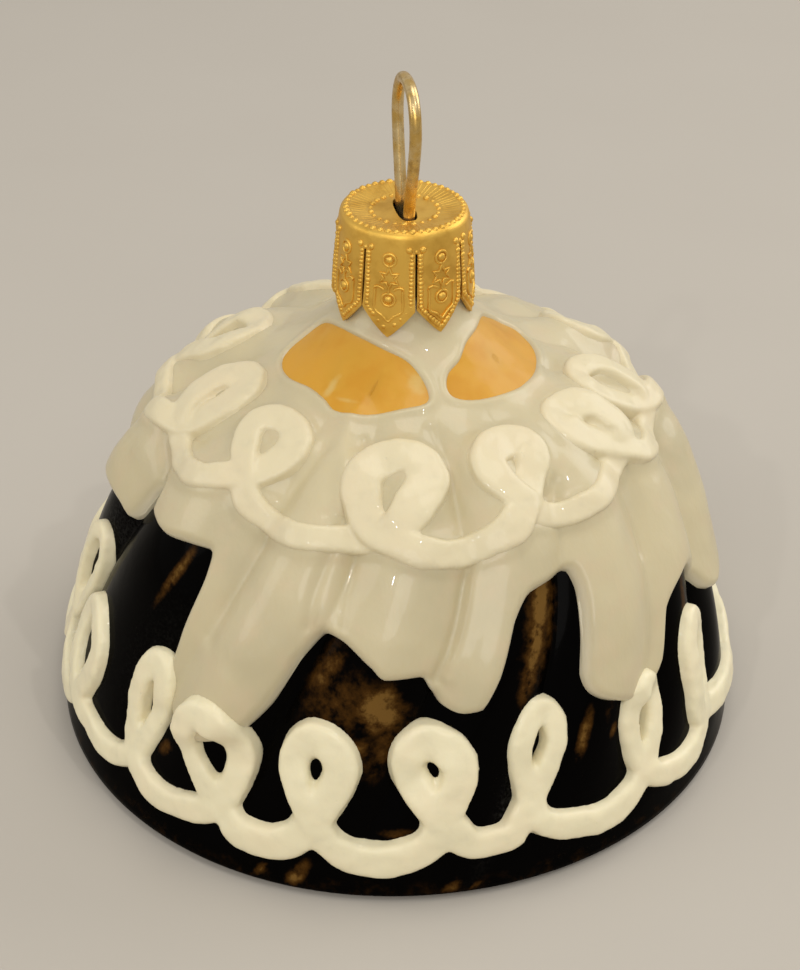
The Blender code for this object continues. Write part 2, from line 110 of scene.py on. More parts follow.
def turnFrom(middle, bearing, period=360):
    # degrees from one bearing to another, the short way round
    return (bearing - middle + period / 2) % period - period / 2


def softPatch(bearing, climb, place, reach, period=360):
    # 1 at a place on the dome, fading over so many mm across and up
    x = np.radians(turnFrom(place[0], bearing, period)) * radiusAt(climb) / reach[0]
    y = (climb - place[1]) / reach[1]
    return np.exp(-(x * x + y * y) / 2)


farOff = 9.0  # further in mm than any lip or skirt reaches


def nearestGap(bearing, climb, lineBearing, lineClimb, lineWidth=0.0):
    # distance in mm from each place to the side of a line of points
    gap = np.empty(len(bearing))
    for part in np.array_split(np.arange(len(bearing)), len(bearing) // 2000 + 1):
        x = np.radians(turnFrom(lineBearing, bearing[part, None])) * radiusAt(climb[part, None])
        away = np.sqrt(x * x + (climb[part, None] - lineClimb) ** 2) - lineWidth / 2
        gap[part] = away.min(axis=1)
    return gap


def roundAxis(radius, bearing, height, centre=(0.0, 0.0)):
    # points at a radius from an upright axis, in metres
    angle = np.radians(bearing)
    rows = (centre[0] + radius * np.sin(angle), centre[1] - radius * np.cos(angle), height)
    return np.stack(np.broadcast_arrays(*rows), axis=-1) * mm


def fluteRise(bearing, climb, roundness=0.8, depth=1.6):
    # rise of the fluted side over the smooth dome, mm; a higher roundness softens the valleys
    height = heightAt(climb)
    valleys = np.array(dome["valleys"])
    along = (bearing - swirlOf(height) - valleys[0]) % 360 + valleys[0]
    flute = np.clip(np.searchsorted(valleys, along, side="right") - 1, 0, len(valleys) - 2)
    across = (along - valleys[flute]) / (valleys[flute + 1] - valleys[flute])
    crown = depth * (np.maximum(np.sin(pi * across), 0) ** roundness - dome["valleyShare"])
    fade = smoothStep(*dome["fluteStart"], height) * (1 - smoothStep(*dome["fluteEnd"], height))
    return crown * fade * dome["relief"]


def onDome(bearing, climb, lift):
    # points lifted square off the smooth dome
    slopeR = np.interp(climb, sideClimb, sideSlope[:, 0])
    slopeZ = np.interp(climb, sideClimb, sideSlope[:, 1])
    return roundAxis(radiusAt(climb) + slopeZ * lift, bearing, heightAt(climb) - slopeR * lift)


def mottle(points, size, seed, octaves=2):
    # gentle noise in -1..1 at each point; size in mm
    shift = np.array((seed * 7.3, seed * 3.1, seed * 5.7))
    places = points.reshape(-1, 3) / (size * mm) + shift
    values = [noise.fractal(p, 0.6, 2.1, octaves) for p in places.tolist()]
    return np.array(values).reshape(points.shape[:-1])


def meshPiece(name, points, faces, smooth=True):
    mesh = bpy.data.meshes.new(name)
    mesh.from_pydata(np.asarray(points).reshape(-1, 3).tolist(), [], faces)
    mesh.validate()
    if smooth:
        mesh.shade_smooth()
    piece = bpy.data.objects.new(name, mesh)
    bpy.context.scene.collection.objects.link(piece)
    return piece


def faceOut(piece):
    # turns the faces of a closed piece outwards
    shell = bmesh.new()
    shell.from_mesh(piece.data)
    bmesh.ops.recalc_face_normals(shell, faces=shell.faces)
    shell.to_mesh(piece.data)
    shell.free()


def ringQuads(rings, columns, closed=False):
    # quads between rings that run round, each one row of points; closed joins the last to the first
    ring = np.arange(rings if closed else rings - 1)[:, None] * columns
    above = (ring + columns) % (rings * columns)
    here = np.arange(columns)
    after = (here + 1) % columns
    quads = np.stack([ring + here, ring + after, above + after, above + here], axis=-1)
    return quads.reshape(-1, 4).tolist()


def sheetQuads(rows, columns, start):
    first = (np.arange(rows - 1)[:, None] * columns + np.arange(columns - 1) + start).reshape(-1)
    return np.stack([first, first + 1, first + columns + 1, first + columns], axis=-1).tolist()


def addFloats(piece, name, values):
    layer = piece.data.attributes.new(name, "FLOAT", "POINT")
    layer.data.foreach_set("value", np.asarray(values, np.float32).reshape(-1))


def settle(piece, *nodes, slotName):
    # every piece rides on the one body and stands for its CAD nodes
    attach(piece, "root")
    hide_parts(*nodes)
    return piece


# node trees: sums on sockets read as plain sums
class Flow:
    def __init__(self, tree, socket):
        self.tree = tree
        self.socket = socket

    def sum(self, operation, *terms):
        return self.tree.make("ShaderNodeMath", {"operation": operation}, dict(enumerate(terms)))

    def __add__(self, other):
        return self.sum("ADD", self, other)

    def __sub__(self, other):
        return self.sum("SUBTRACT", self, other)

    def __rsub__(self, other):
        return self.sum("SUBTRACT", other, self)

    def __mul__(self, other):
        return self.sum("MULTIPLY", self, other)

    __radd__ = __add__
    __rmul__ = __mul__


class Tree:
    def __init__(self, nodeTree):
        self.nodes = nodeTree.nodes
        self.links = nodeTree.links

    def make(self, kind, settings=None, sockets=None, out=0):
        # one node: its settings first, then the values or links of its sockets
        node = self.nodes.new(kind)
        for key, value in (settings or {}).items():
            if key == "stops":
                while len(node.color_ramp.elements) < len(value):
                    node.color_ramp.elements.new(0.5)
                for element, (place, colour) in zip(node.color_ramp.elements, value):
                    element.position = place
                    element.color = colour if len(colour) == 4 else (*colour, 1)
            else:
                setattr(node, key, value)
        for key, value in (sockets or {}).items():
            if isinstance(value, Flow):
                self.links.new(value.socket, node.inputs[key])
            else:
                node.inputs[key].default_value = value
        return Flow(self, node.outputs[out])

    def outputOf(self, flow, name):
        return Flow(self, flow.socket.node.outputs[name])

    def place(self):
        return self.make("ShaderNodeTexCoord", out="Object")

    def readFloat(self, name):
        return self.make("ShaderNodeAttribute", {"attribute_name": name}, out="Fac")

    def speckle(self, size, detail=2.0, roughness=0.5, stretch=None):
        # noise about 0.5, its blotches about this many mm across
        where = self.place()
        if stretch:
            where = self.make("ShaderNodeMapping", {}, {"Vector": where, "Scale": stretch})
        return self.make("ShaderNodeTexNoise", {}, {"Vector": where, "Scale": 1 / (size * mm),
                                                    "Detail": detail, "Roughness": roughness})

    def ramp(self, value, low, high):
        # 0 below low, 1 above high, eased between
        return self.make("ShaderNodeMapRange", {"interpolation_type": "SMOOTHSTEP"},
                         {"Value": value, "From Min": low, "From Max": high})

    def blend(self, first, second, share):
        first = first if isinstance(first, Flow) else (*first, 1)
        second = second if isinstance(second, Flow) else (*second, 1)
        return self.make("ShaderNodeMix", {"data_type": "RGBA"}, {0: share, 6: first, 7: second}, out=2)

    def bump(self, height, depth, normal=None):
        # depth in mm for a height of one
        sockets = {"Height": height, "Distance": depth * mm, "Strength": 1.0}
        if normal:
            sockets["Normal"] = normal
        return self.make("ShaderNodeBump", {}, sockets, out="Normal")


def newMaterial(name, sockets):
    # a Principled material; sockets holds the values that are the same all over
    material = bpy.data.materials.new(name)
    material.use_nodes = True
    shader = material.node_tree.nodes["Principled BSDF"]
    for key, value in sockets.items():
        shader.inputs[key].default_value = value
    return material, Tree(material.node_tree), shader


def drive(tree, shader, **flows):
    for key, flow in flows.items():
        tree.links.new(flow.socket, shader.inputs[key.replace("_", " ")])


# finishes
glassFinish = {
    "black": (0.0009, 0.0007, 0.0006),
    "brown": (0.045, 0.019, 0.0035),
    "amber": (0.15, 0.078, 0.018),
    # the grey haze is dust on the glass and painted glints and reflections
    "hazeAndGlint": (0.022, 0.021, 0.019),
}


def glassMaterial():
    material, tree, shader = newMaterial("chocolateGlass", {
        "Specular IOR Level": 0.012, "Coat Weight": 0.012, "Coat Roughness": 0.04})
    glow = tree.readFloat("glow")
    blotch = tree.speckle(1.1, 4.0, 0.62)
    grain = tree.speckle(0.28, 3.0, 0.7)
    ragged = glow * (2.8 * blotch - 0.5) + (grain - 0.5) * 0.12 * tree.ramp(glow, 0.05, 0.3)
    brownMask = tree.ramp(ragged, 0.12, 0.5)
    amberMask = tree.ramp(ragged, 0.42, 0.95)
    colour = tree.blend(glassFinish["black"], glassFinish["brown"], brownMask)
    colour = tree.blend(colour, glassFinish["amber"], amberMask)
    # greyer, rougher patches: dust, and painted glints and painted reflections on the glass
    dust = tree.ramp(grain, 0.4, 0.8) * tree.readFloat("dust")
    colour = tree.blend(colour, glassFinish["hazeAndGlint"], dust)
    roughness = 0.14 + dust * 0.2 + tree.speckle(6.0) * 0.05
    normal = tree.bump(tree.speckle(1.4, 3.0), 0.02)
    drive(tree, shader, Base_Color=colour, Roughness=roughness, Normal=normal)
    return material


icingFinish = {
    "ivory": (0.57, 0.495, 0.31),
    "shade": (0.48, 0.42, 0.265),
    "warm": (0.59, 0.475, 0.305),
    # edge: lightens the lip, a painted highlight where the rounded lip catches light
    "edge": (0.72, 0.65, 0.48),
}


def icingMaterial():
    material, tree, shader = newMaterial("ivoryIcing", {
        "Specular IOR Level": 0.35, "Coat Weight": 0.35, "Coat Roughness": 0.05,
        "Subsurface Weight": 0.12, "Subsurface Radius": (1.0, 0.75, 0.45), "Subsurface Scale": 1.2 * mm})
    wide = tree.speckle(9.0, 2.0)
    fine = tree.speckle(2.4, 3.0)
    colour = tree.blend(icingFinish["ivory"], icingFinish["shade"], tree.ramp(wide, 0.4, 0.7) * 0.7)
    colour = tree.blend(colour, icingFinish["warm"], tree.ramp(fine, 0.45, 0.75) * 0.5)
    # painted highlight: the lip is lightened towards the drips' edge
    colour = tree.blend(colour, icingFinish["edge"], tree.readFloat("lip") * 0.7)
    normal = tree.bump(tree.speckle(1.1, 3.0, stretch=(1.0, 1.0, 0.35)), 0.07)
    normal = tree.bump(tree.speckle(0.28, 2.0), 0.003, normal=normal)
    drive(tree, shader, Base_Color=colour, Roughness=0.34 + fine * 0.1, Normal=normal)
    return material


pipingFinish = {
    # colours of the curls round the crown and round the foot; the foot's are a lighter copy, painted light
    # for the brighter light that falls on the curls round the foot
    "crown": ((0.69, 0.61, 0.405), (0.62, 0.55, 0.37), (0.70, 0.60, 0.40)),
    "foot": ((0.80, 0.73, 0.50), (0.71, 0.65, 0.45), (0.82, 0.72, 0.49)),
}


def pipingMaterial(name):
    material, tree, shader = newMaterial(name + "Piping", {
        "Specular IOR Level": 0.32, "Coat Weight": 0.25, "Coat Roughness": 0.06,
        "Subsurface Weight": 0.1, "Subsurface Radius": (1.0, 0.8, 0.5), "Subsurface Scale": 0.8 * mm})
    cream, shade, warm = pipingFinish[name]
    wide = tree.speckle(5.0, 2.0)
    fine = tree.speckle(1.2, 3.0)
    pits = tree.make("ShaderNodeTexVoronoi", {}, {"Vector": tree.place(), "Scale": 1 / (2.4 * mm)})
    # small dents, their colour darkened towards the shade colour: painted shade in the dents
    pitDentAndShade = 1 - tree.ramp(pits, 0.02, 0.06)
    colour = tree.blend(cream, warm, tree.ramp(wide, 0.4, 0.7) * 0.6)
    # the fine blotches vary the tone at random; the pits are darkened with painted shade
    colour = tree.blend(colour, shade, tree.ramp(fine, 0.5, 0.8) * 0.5 + pitDentAndShade * 0.5)
    normal = tree.bump(tree.speckle(0.9, 3.0), 0.035)
    normal = tree.bump(pitDentAndShade, -0.03, normal=normal)
    drive(tree, shader, Base_Color=colour, Roughness=0.4 + fine * 0.12, Normal=normal)
    return material


petalFinish = {
    "orange": (0.61, 0.31, 0.028),
    "deep": (0.56, 0.255, 0.013),
    "milky": (0.62, 0.40, 0.11),
}


def petalMaterial():
    material, tree, shader = newMaterial("orangeGlaze", {
        "Specular IOR Level": 0.3, "Coat Weight": 0.1, "Coat Roughness": 0.1,
        "Subsurface Weight": 0.1, "Subsurface Radius": (1.0, 0.5, 0.2), "Subsurface Scale": 0.8 * mm})
    wide = tree.speckle(3.0, 3.0)
    colour = tree.blend(petalFinish["orange"], petalFinish["deep"], tree.ramp(wide, 0.45, 0.7) * 0.7)
    milk = tree.ramp(tree.readFloat("milk") + (tree.speckle(1.1, 3.0) - 0.5) * 0.6, 0.3, 0.8)
    colour = tree.blend(colour, petalFinish["milky"], milk)
    normal = tree.bump(tree.speckle(1.0, 2.0), 0.02)
    drive(tree, shader, Base_Color=colour, Roughness=0.32 + wide * 0.1, Normal=normal)
    return material


goldFinish = {
    "lit": (0.80, 0.50, 0.10),
    "deep": (0.52, 0.28, 0.04),
}


def goldMaterial():
    material, tree, shader = newMaterial("stampedGold", {"Metallic": 1.0})
    wide = tree.speckle(1.6, 3.0)
    grain = tree.speckle(0.12, 2.0)
    colour = tree.blend(goldFinish["lit"], goldFinish["deep"], tree.ramp(wide, 0.4, 0.75) * 0.6)
    normal = tree.bump(tree.speckle(0.5, 3.0), 0.02)
    normal = tree.bump(grain, 0.004, normal=normal)
    drive(tree, shader, Base_Color=colour, Roughness=0.4 + wide * 0.14, Normal=normal)
    return material


wireFinish = {
    "gold": (0.56, 0.36, 0.10),
    "pale": (0.66, 0.50, 0.25),
    "dark": (0.24, 0.13, 0.035),
}


def wireMaterial():
    material, tree, shader = newMaterial("wornWire", {"Metallic": 0.9})
    worn = tree.ramp(tree.speckle(1.3, 3.0), 0.35, 0.65)
    spots = tree.ramp(tree.speckle(0.7, 3.0), 0.52, 0.75)
    colour = tree.blend(wireFinish["gold"], wireFinish["pale"], worn)
    colour = tree.blend(colour, wireFinish["dark"], spots * 0.5)
    normal = tree.bump(tree.speckle(0.5, 2.0), 0.015)
    drive(tree, shader, Base_Color=colour, Roughness=0.27 + spots * 0.2, Normal=normal)
    return material


floorFinish = {"tone": (0.49, 0.457, 0.405), "grain": (0.47, 0.436, 0.385)}


def floorMaterial():
    material, tree, shader = newMaterial("paleFloor", {"Specular IOR Level": 0.1})
    colour = tree.blend(floorFinish["tone"], floorFinish["grain"], tree.speckle(30.0, 2.0))
    rough = tree.ramp(tree.speckle(4.0, 2.0), 0.0, 1.0) * 0.1 + 0.8
    drive(tree, shader, Base_Color=colour, Roughness=rough)
    return material


# glass body
glass = {
    "columns": 600,
    "rows": 128,
    "foot": ((0.02, 0.0), (20.0, 0.0), (28.4, 0.0), (28.8, 0.04), (29.3, 0.14), (29.7, 0.32)),
    "footSpread": (-28.0, 38.0, 0.65, 4.0),  # the rim bulges: bearing, degrees, mm out, mm up
    "neck": ((4.4, 42.6), (4.4, 45.0), (3.3, 45.0), (3.3, 39.5), (0.02, 39.5)),
    "stripGlow": 0.17,
    "stripSpan": (0.5, 3.0),
    # patches where the dark lacquer is thin: bearing, height, mm across, mm up, strength
    "patches": ((29.4, 23.0, 0.6, 2.6, 1.5), (26.8, 20.2, 0.6, 2.0, 1.2), (24.4, 17.6, 0.6, 1.6, 0.9),
                (28.5, 21.3, 1.3, 3.6, 0.6), (-9.0, 16.2, 2.6, 2.2, 0.42), (-12.6, 18.6, 0.8, 1.8, 0.62),
                (-3.6, 16.4, 1.0, 1.0, 1.3), (-2.2, 15.5, 1.0, 0.9, 1.2), (-7.0, 12.6, 0.8, 0.7, 0.9),
                (-1.0, 13.2, 1.2, 2.4, 0.45), (-14.6, 1.7, 0.5, 0.8, 0.9), (-20.5, 1.4, 0.3, 0.4, 0.7),
                (-8.0, 4.9, 0.8, 0.4, 0.6), (-11.5, 5.6, 0.5, 0.3, 0.5), (1.0, 5.9, 1.2, 0.35, 0.45),
                (9.0, 1.2, 0.5, 0.4, 0.7), (12.5, 1.0, 0.3, 0.3, 0.5), (33.0, 11.6, 0.4, 1.3, 0.75),
                (39.0, 10.8, 0.35, 0.5, 0.6), (-41.0, 8.0, 0.5, 0.6, 0.6), (-47.5, 21.5, 0.35, 2.2, 0.8),
                (64.0, 15.0, 0.5, 3.0, 0.5), (40.5, 14.5, 0.5, 2.2, 0.4),
                (112.0, 15.0, 1.4, 3.0, 0.8), (117.0, 12.0, 0.6, 1.4, 1.0), (138.0, 9.0, 1.0, 2.2, 0.9),
                (158.0, 19.0, 0.5, 2.4, 0.8), (171.0, 16.0, 1.6, 2.6, 0.8), (186.0, 6.0, 0.8, 0.5, 0.9),
                (204.0, 18.0, 0.7, 3.0, 0.9), (232.0, 10.0, 1.2, 2.0, 0.7), (-72.0, 12.0, 0.6, 2.0, 0.4)),
    # patches of dust, and of painted glints and a painted reflection on the left limb: bearing, height, mm
    # across, mm up, strength
    "dustAndGlintPatches": ((19.0, 8.5, 0.5, 3.6, 1.0), (21.5, 9.5, 0.3, 2.4, 1.0), (-44.0, 14.0, 3.0, 4.0, 0.35),
                    (160.0, 10.0, 1.5, 5.0, 0.7), (-80.0, 19.0, 3.0, 2.2, 1.0),
                    (63.5, 14.0, 0.35, 4.0, 0.9)),
}


def patchMap(bearing, climb, patches):
    # soft patches that lean with the flutes
    total = np.zeros(np.broadcast(bearing, climb).shape)
    for middle, height, across, up, strength in patches:
        drift = swirlOf(heightAt(climb)) - swirlOf(height)
        patch = softPatch(bearing - drift, climb, (middle, climbOf(height)), (across, up))
        total = np.maximum(total, strength * patch)
    return total


def glassBody():
    count = glass["columns"]
    climbs = np.linspace(0, sideClimb[-1], glass["rows"])
    bearing = np.arange(count) * 360 / count + swirlOf(heightAt(climbs))[:, None]
    climb = np.broadcast_to(climbs[:, None], bearing.shape)
    middle, reach, out, up = glass["footSpread"]
    bulge = out * np.exp(-(turnFrom(middle, bearing) / reach) ** 2)
    outside = onDome(bearing, climb, fluteRise(bearing, climb) + bulge * (1 - smoothStep(0, up, climb)))
    spread = 1 + bulge[0] / side[0, 0]
    lower = [roundAxis(radius * spread, bearing[0], height) for radius, height in glass["foot"]]
    upper = [roundAxis(radius, bearing[-1], height) for radius, height in glass["neck"]]
    points = np.concatenate([lower, outside, upper])
    faces = ringQuads(len(points), count)
    faces.append(list(reversed(range(count))))
    faces.append(list(range((len(points) - 1) * count, len(points) * count)))
    piece = meshPiece("glassBody", points, faces)
    # the strip under the curls is browner all round
    strip = glass["stripGlow"] * (1 - smoothStep(*glass["stripSpan"], climb))
    glow = np.maximum(patchMap(bearing, climb, glass["patches"]), strip)
    for name, values in (("glow", glow), ("dust", patchMap(bearing, climb, glass["dustAndGlintPatches"]))):
        below = np.broadcast_to(values[0], (len(lower), count))
        addFloats(piece, name, np.vstack([below, values, np.zeros((len(upper), count))]))
    piece.data.materials.append(glassMaterial())
    return settle(piece, "cake_body", slotName="chocolate_glass")


# icing
icing = {
    "thick": 1.0,
    "neckThick": 0.5,
    "neckSpan": (34.5, 39.0),  # climbs between which it thins
    "flutes": {"roundness": 1.1, "depth": 1.5},
    "lip": 0.85,
    "lipHighlightSpan": (0.05, 0.5),  # the lip's paler strip, a painted highlight along the rounded lip, fades out this far from the edge
    "sink": 0.25,  # the inner face lies this deep in the glass
    "unevenness": (5.0, 0.12),  # mm from one hump to the next, and their rise
    "top": 40.3,
    "columns": 640,
    "edgeRows": 76,
    "edgeTop": 30.0,  # no part of the edge is higher
    "crownClimb": 37.0,  # from here on the rows lie close, for the petals' rims
    "crownRows": 54,
    "neckClimb": 46.4,
    "edge": ((-104.0, 22.8), (-97.0, 21.8), (-90.0, 21.3), (-80.0, 21.3), (-74.4, 21.2), (-71.0, 20.9),
             (-69.4, 21.6), (-68.2, 24.7), (-66.5, 25.5), (-62.0, 23.6), (-55.0, 23.3), (-48.0, 23.8),
             (-43.0, 24.1), (-41.0, 22.5), (-38.6, 17.5), (-35.4, 12.6), (-31.0, 11.2), (-25.0, 10.2),
             (-19.0, 11.4), (-15.6, 15.0), (-14.8, 19.0), (-12.6, 21.1), (-9.8, 20.9), (-2.2, 19.3),
             (1.4, 18.4), (7.2, 18.5), (10.1, 17.4), (13.2, 16.2), (17.0, 15.6), (20.0, 15.8),
             (21.5, 18.0), (22.3, 21.8), (25.0, 23.3), (30.5, 23.6), (35.0, 23.8), (37.0, 22.5),
             (38.3, 19.3), (39.2, 16.2), (42.0, 14.5), (47.5, 13.2), (54.0, 12.2), (59.0, 12.3),
             (61.1, 13.5), (62.2, 17.2), (66.0, 18.3), (69.0, 18.6), (74.5, 17.4), (80.0, 15.6),
             (84.5, 13.6), (89.5, 12.6), (95.0, 13.6), (99.5, 17.6), (104.0, 21.8), (109.0, 23.2)),
    "backFrom": -62.0,  # the far side repeats the near edge between these two bearings
    "backTo": 61.1,
    # furrows and raised folds: depth, half width, then (bearing, height) along each
    "folds": ((-0.30, 0.42, ((-72.0, 28.6), (-70.8, 27.4), (-66.2, 25.9), (-63.6, 24.3))),
              (-0.28, 0.45, ((-24.0, 31.0), (-26.2, 29.8), (-30.8, 26.2), (-33.1, 22.5), (-35.2, 18.4))),
              (-0.22, 0.30, ((-12.6, 28.4), (-13.8, 26.9), (-15.9, 24.2), (-16.5, 21.5))),
              (-0.22, 0.30, ((-8.0, 28.6), (-8.8, 27.4), (-10.0, 25.2), (-10.5, 21.9))),
              (0.18, 0.5, ((-11.0, 28.0), (-12.5, 26.0), (-13.4, 23.5), (-13.6, 21.8))),
              (-0.30, 0.32, ((15.5, 25.7), (13.5, 24.6), (10.4, 21.3), (6.7, 18.4))),
              (0.26, 0.34, ((17.0, 26.3), (15.7, 25.1), (12.8, 21.9), (8.9, 18.5))),
              (-0.22, 0.35, ((14.8, 28.5), (13.3, 30.3), (11.4, 32.2))),
              (-0.26, 0.34, ((36.9, 27.1), (41.7, 28.7))),
              (-0.30, 0.42, ((66.5, 28.2), (65.0, 26.8), (61.0, 24.4), (56.5, 22.1))),
              (0.20, 0.45, ((-15.3, 30.2), (-20.9, 32.3), (-18.9, 33.2))),
              (-0.18, 0.30, ((-13.0, 31.7), (-10.4, 30.3)))),
    # soft swellings: bearing, height, mm across, mm up, rise
    "swells": ((-84.0, 25.0, 3.2, 3.6, 1.0), (-57.0, 25.8, 3.6, 2.6, 0.45), (-27.0, 15.5, 3.4, 5.0, 0.5),
               (-13.5, 22.0, 1.0, 1.6, 0.3), (0.0, 22.0, 3.0, 3.0, 0.3), (16.5, 18.5, 2.2, 3.0, 0.4),
               (29.0, 26.0, 2.4, 2.2, 0.25), (48.0, 18.0, 3.6, 5.0, 0.35), (88.0, 19.0, 3.2, 4.5, 0.3)),
    "skirtRise": 0.28,  # where the crown's curls settle into the icing
    "skirtReach": 0.55,
}


def wholeEdge():
    # the edge's points all round: those given, then some of them again on the far side
    given = list(icing["edge"])
    again = [(x + 180, y) for x, y in given if icing["backFrom"] <= x <= icing["backTo"]]
    return np.array(given + again + [(given[0][0] + 360, given[0][1])])


edgePoints = wholeEdge()


def icingEdge(bearing):
    # height of the drips' edge, by a smooth curve through its points; the bearing has no swirl
    x, y = edgePoints.T
    step = np.diff(y) / np.diff(x)
    both = step[:-1] * step[1:] > 0
    slope = np.zeros(len(x))
    slope[1:-1] = np.where(both, 2 * step[:-1] * step[1:] / np.where(both, step[:-1] + step[1:], 1), 0)
    along = (bearing - x[0]) % 360 + x[0]
    i = np.clip(np.searchsorted(x, along, side="right") - 1, 0, len(x) - 2)
    width = x[i + 1] - x[i]
    t = (along - x[i]) / width
    return ((1 + 2 * t) * (1 - t) ** 2 * y[i] + t * (1 - t) ** 2 * width * slope[i]
            + t * t * (3 - 2 * t) * y[i + 1] + t * t * (t - 1) * width * slope[i + 1])


def edgeSteps(count):
    # bearings round the edge, swirl taken off, closer together where it runs steeply
    fine = np.linspace(edgePoints[0, 0], edgePoints[-1, 0], 14401)
    climb = climbOf(icingEdge(fine))
    across = np.radians(np.diff(fine)) * radiusAt((climb[1:] + climb[:-1]) / 2)
    weight = np.concatenate([[0.0], np.cumsum(np.hypot(0.6 * across, np.diff(climb)) + 0.3 * across)])
    return np.interp(np.arange(count) * weight[-1] / count, weight, fine)


edgeBearing = edgeSteps(3200)
edgeClimb = climbOf(icingEdge(edgeBearing))
edgeTrue = edgeBearing + swirlOf(heightAt(edgeClimb))


def toEdge(bearing, climb):
    # distance in mm from the drips' edge, positive inside the icing
    bearing, climb = np.broadcast_arrays(bearing, climb)
    nearest = np.full(bearing.shape, farOff)
    low = climb < climbOf(icing["edgeTop"])
    nearest[low] = nearestGap(bearing[low], climb[low], edgeTrue, edgeClimb)
    own = climbOf(icingEdge(bearing - swirlOf(heightAt(climb))))
    return np.where(climb >= own, nearest, -nearest)


def foldRelief(bearing, climb):
    # the back repeats the front
    along = turnFrom(0, bearing, 180)
    total = np.zeros(np.broadcast(bearing, climb).shape)
    for rise, width, line in icing["folds"]:
        path = throughPoints(line, 8)
        nearest = np.full(total.shape, np.inf)
        for a, b in zip(path, path[1:]):
            middle = radiusAt(climbOf((a[1] + b[1]) / 2))
            runX = np.radians(b[0] - a[0]) * middle
            runY = climbOf(b[1]) - climbOf(a[1])
            x = np.radians(along - a[0]) * middle
            y = climb - climbOf(a[1])
            share = np.clip((x * runX + y * runY) / (runX ** 2 + runY ** 2), 0, 1)
            nearest = np.minimum(nearest, (x - share * runX) ** 2 + (y - share * runY) ** 2)
        total = total + rise * np.exp(-nearest / (2 * width ** 2))
    for middle, height, across, up, rise in icing["swells"]:
        total = total + rise * softPatch(along, climb, (middle, climbOf(height)), (across, up), 180)
    return total


# petals round the neck, whose outline the icing's rims follow
petals = {
    # outlines of the two at the front: (bearing, climb) round each
    "outlines": (((-72.5, 40.0), (-80.5, 41.0), (-85.0, 42.8), (-83.0, 44.8), (-66.0, 45.8),
                  (-37.0, 46.1), (-14.5, 45.6), (3.0, 44.7), (11.5, 43.3), (14.5, 41.9), (12.0, 40.8),
                  (-0.5, 40.3), (-17.0, 39.4), (-29.0, 39.3), (-37.0, 39.9), (-47.5, 40.2),
                  (-61.5, 39.8)),
                 ((89.0, 45.2), (103.0, 44.3), (110.5, 42.5), (108.5, 40.3), (94.0, 39.2), (79.0, 38.9),
                  (65.0, 39.1), (43.0, 39.8), (27.0, 40.7), (23.5, 41.9), (28.0, 43.2), (39.0, 44.0),
                  (52.0, 45.0), (68.0, 45.3))),
    "backTurn": 114.0,  # the third is the second turned round to the back
    "lowest": 36.5,  # the climb that no petal's rim reaches down to
    "rings": 30,
    "thick": 0.3,
    "underRim": 1.05,  # a petal runs on under its rim by this much of its size
    "unevenness": (2.6, 0.07),
    "level": 0.1,  # their face under the icing's own level, mm
    "well": 0.4,
    "wellSide": (-0.05, 0.3),
    "rimRise": 0.14,
    "rimOut": 0.3,
    "rimWidth": 0.35,
    # where the glaze turns milky: bearing, climb, mm across, mm up, strength
    "milk": ((-37.0, 41.2, 0.35, 1.1, 0.75), (-26.0, 40.5, 1.1, 0.22, 0.6), (9.0, 42.8, 0.8, 1.2, 0.7),
             (-60.0, 43.0, 0.8, 1.2, 0.3), (70.0, 42.5, 1.6, 1.0, 0.3), (186.0, 42.0, 1.0, 0.8, 0.6)),
}


petalOutlines = [throughPoints(corners, 6, closed=True) for corners in petals["outlines"]]
petalOutlines.append(petalOutlines[1] + (petals["backTurn"], 0.0))


def petalGauge(bearing, climb, outline):
    # distance in mm to a petal's outline along the dome, positive inside
    middle = outline[:, 0].mean()
    along = turnFrom(middle, bearing) + middle
    x = np.radians(outline[:, 0] - along[..., None]) * radiusAt(climb)[..., None]
    y = outline[:, 1] - climb[..., None]
    afterX, afterY = np.roll(x, -1, axis=-1), np.roll(y, -1, axis=-1)
    runX, runY = afterX - x, afterY - y
    share = np.clip(-(x * runX + y * runY) / (runX ** 2 + runY ** 2), 0, 1)
    gap = np.hypot(x + share * runX, y + share * runY).min(axis=-1)
    # inside where a line drawn to the right crosses the outline an odd number of times
    spans = (y > 0) != (afterY > 0)
    meets = x - y * runX / np.where(runY == 0, 1e-9, runY)
    return np.where((spans & (meets > 0)).sum(axis=-1) % 2 == 1, gap, -gap)


def petalDistance(bearing, climb):
    bearing, climb = np.broadcast_arrays(bearing, climb)
    gauge = np.full(bearing.shape, -farOff)
    near = climb > petals["lowest"]
    if near.any():
        gauges = [petalGauge(bearing[near], climb[near], outline) for outline in petalOutlines]
        gauge[near] = np.max(gauges, axis=0)
    return gauge


def icingLevel(bearing, climb):
    # rise of the full icing over the smooth dome, its lip left out
    thick = icing["thick"] + (icing["neckThick"] - icing["thick"]) * smoothStep(*icing["neckSpan"], climb)
    soft = fluteRise(bearing, climb, **icing["flutes"])
    return soft + thick + foldRelief(bearing, climb)


def icingRise(bearing, climb, inside):
    # rise of the icing's face over the smooth dome, where inside is the distance from its edge
    share = np.clip(inside / icing["lip"], 0, 1)
    rounded = np.sqrt(1 - (1 - share) ** 2)
    bare = fluteRise(bearing, climb)
    rise = bare + (icingLevel(bearing, climb) - bare) * rounded
    gauge = petalDistance(bearing, climb)
    rim = petals["rimRise"] * np.exp(-((gauge + petals["rimOut"]) / petals["rimWidth"]) ** 2)
    return rise + rim - petals["well"] * smoothStep(*petals["wellSide"], gauge)


def topSurface(bearing, climb):
    # rise of whatever face is outermost: icing where there is some, else bare glass
    inside = toEdge(bearing, climb)
    covered = icingRise(bearing, climb, np.maximum(inside, 0))
    return np.where(inside > 0, covered, fluteRise(bearing, climb))


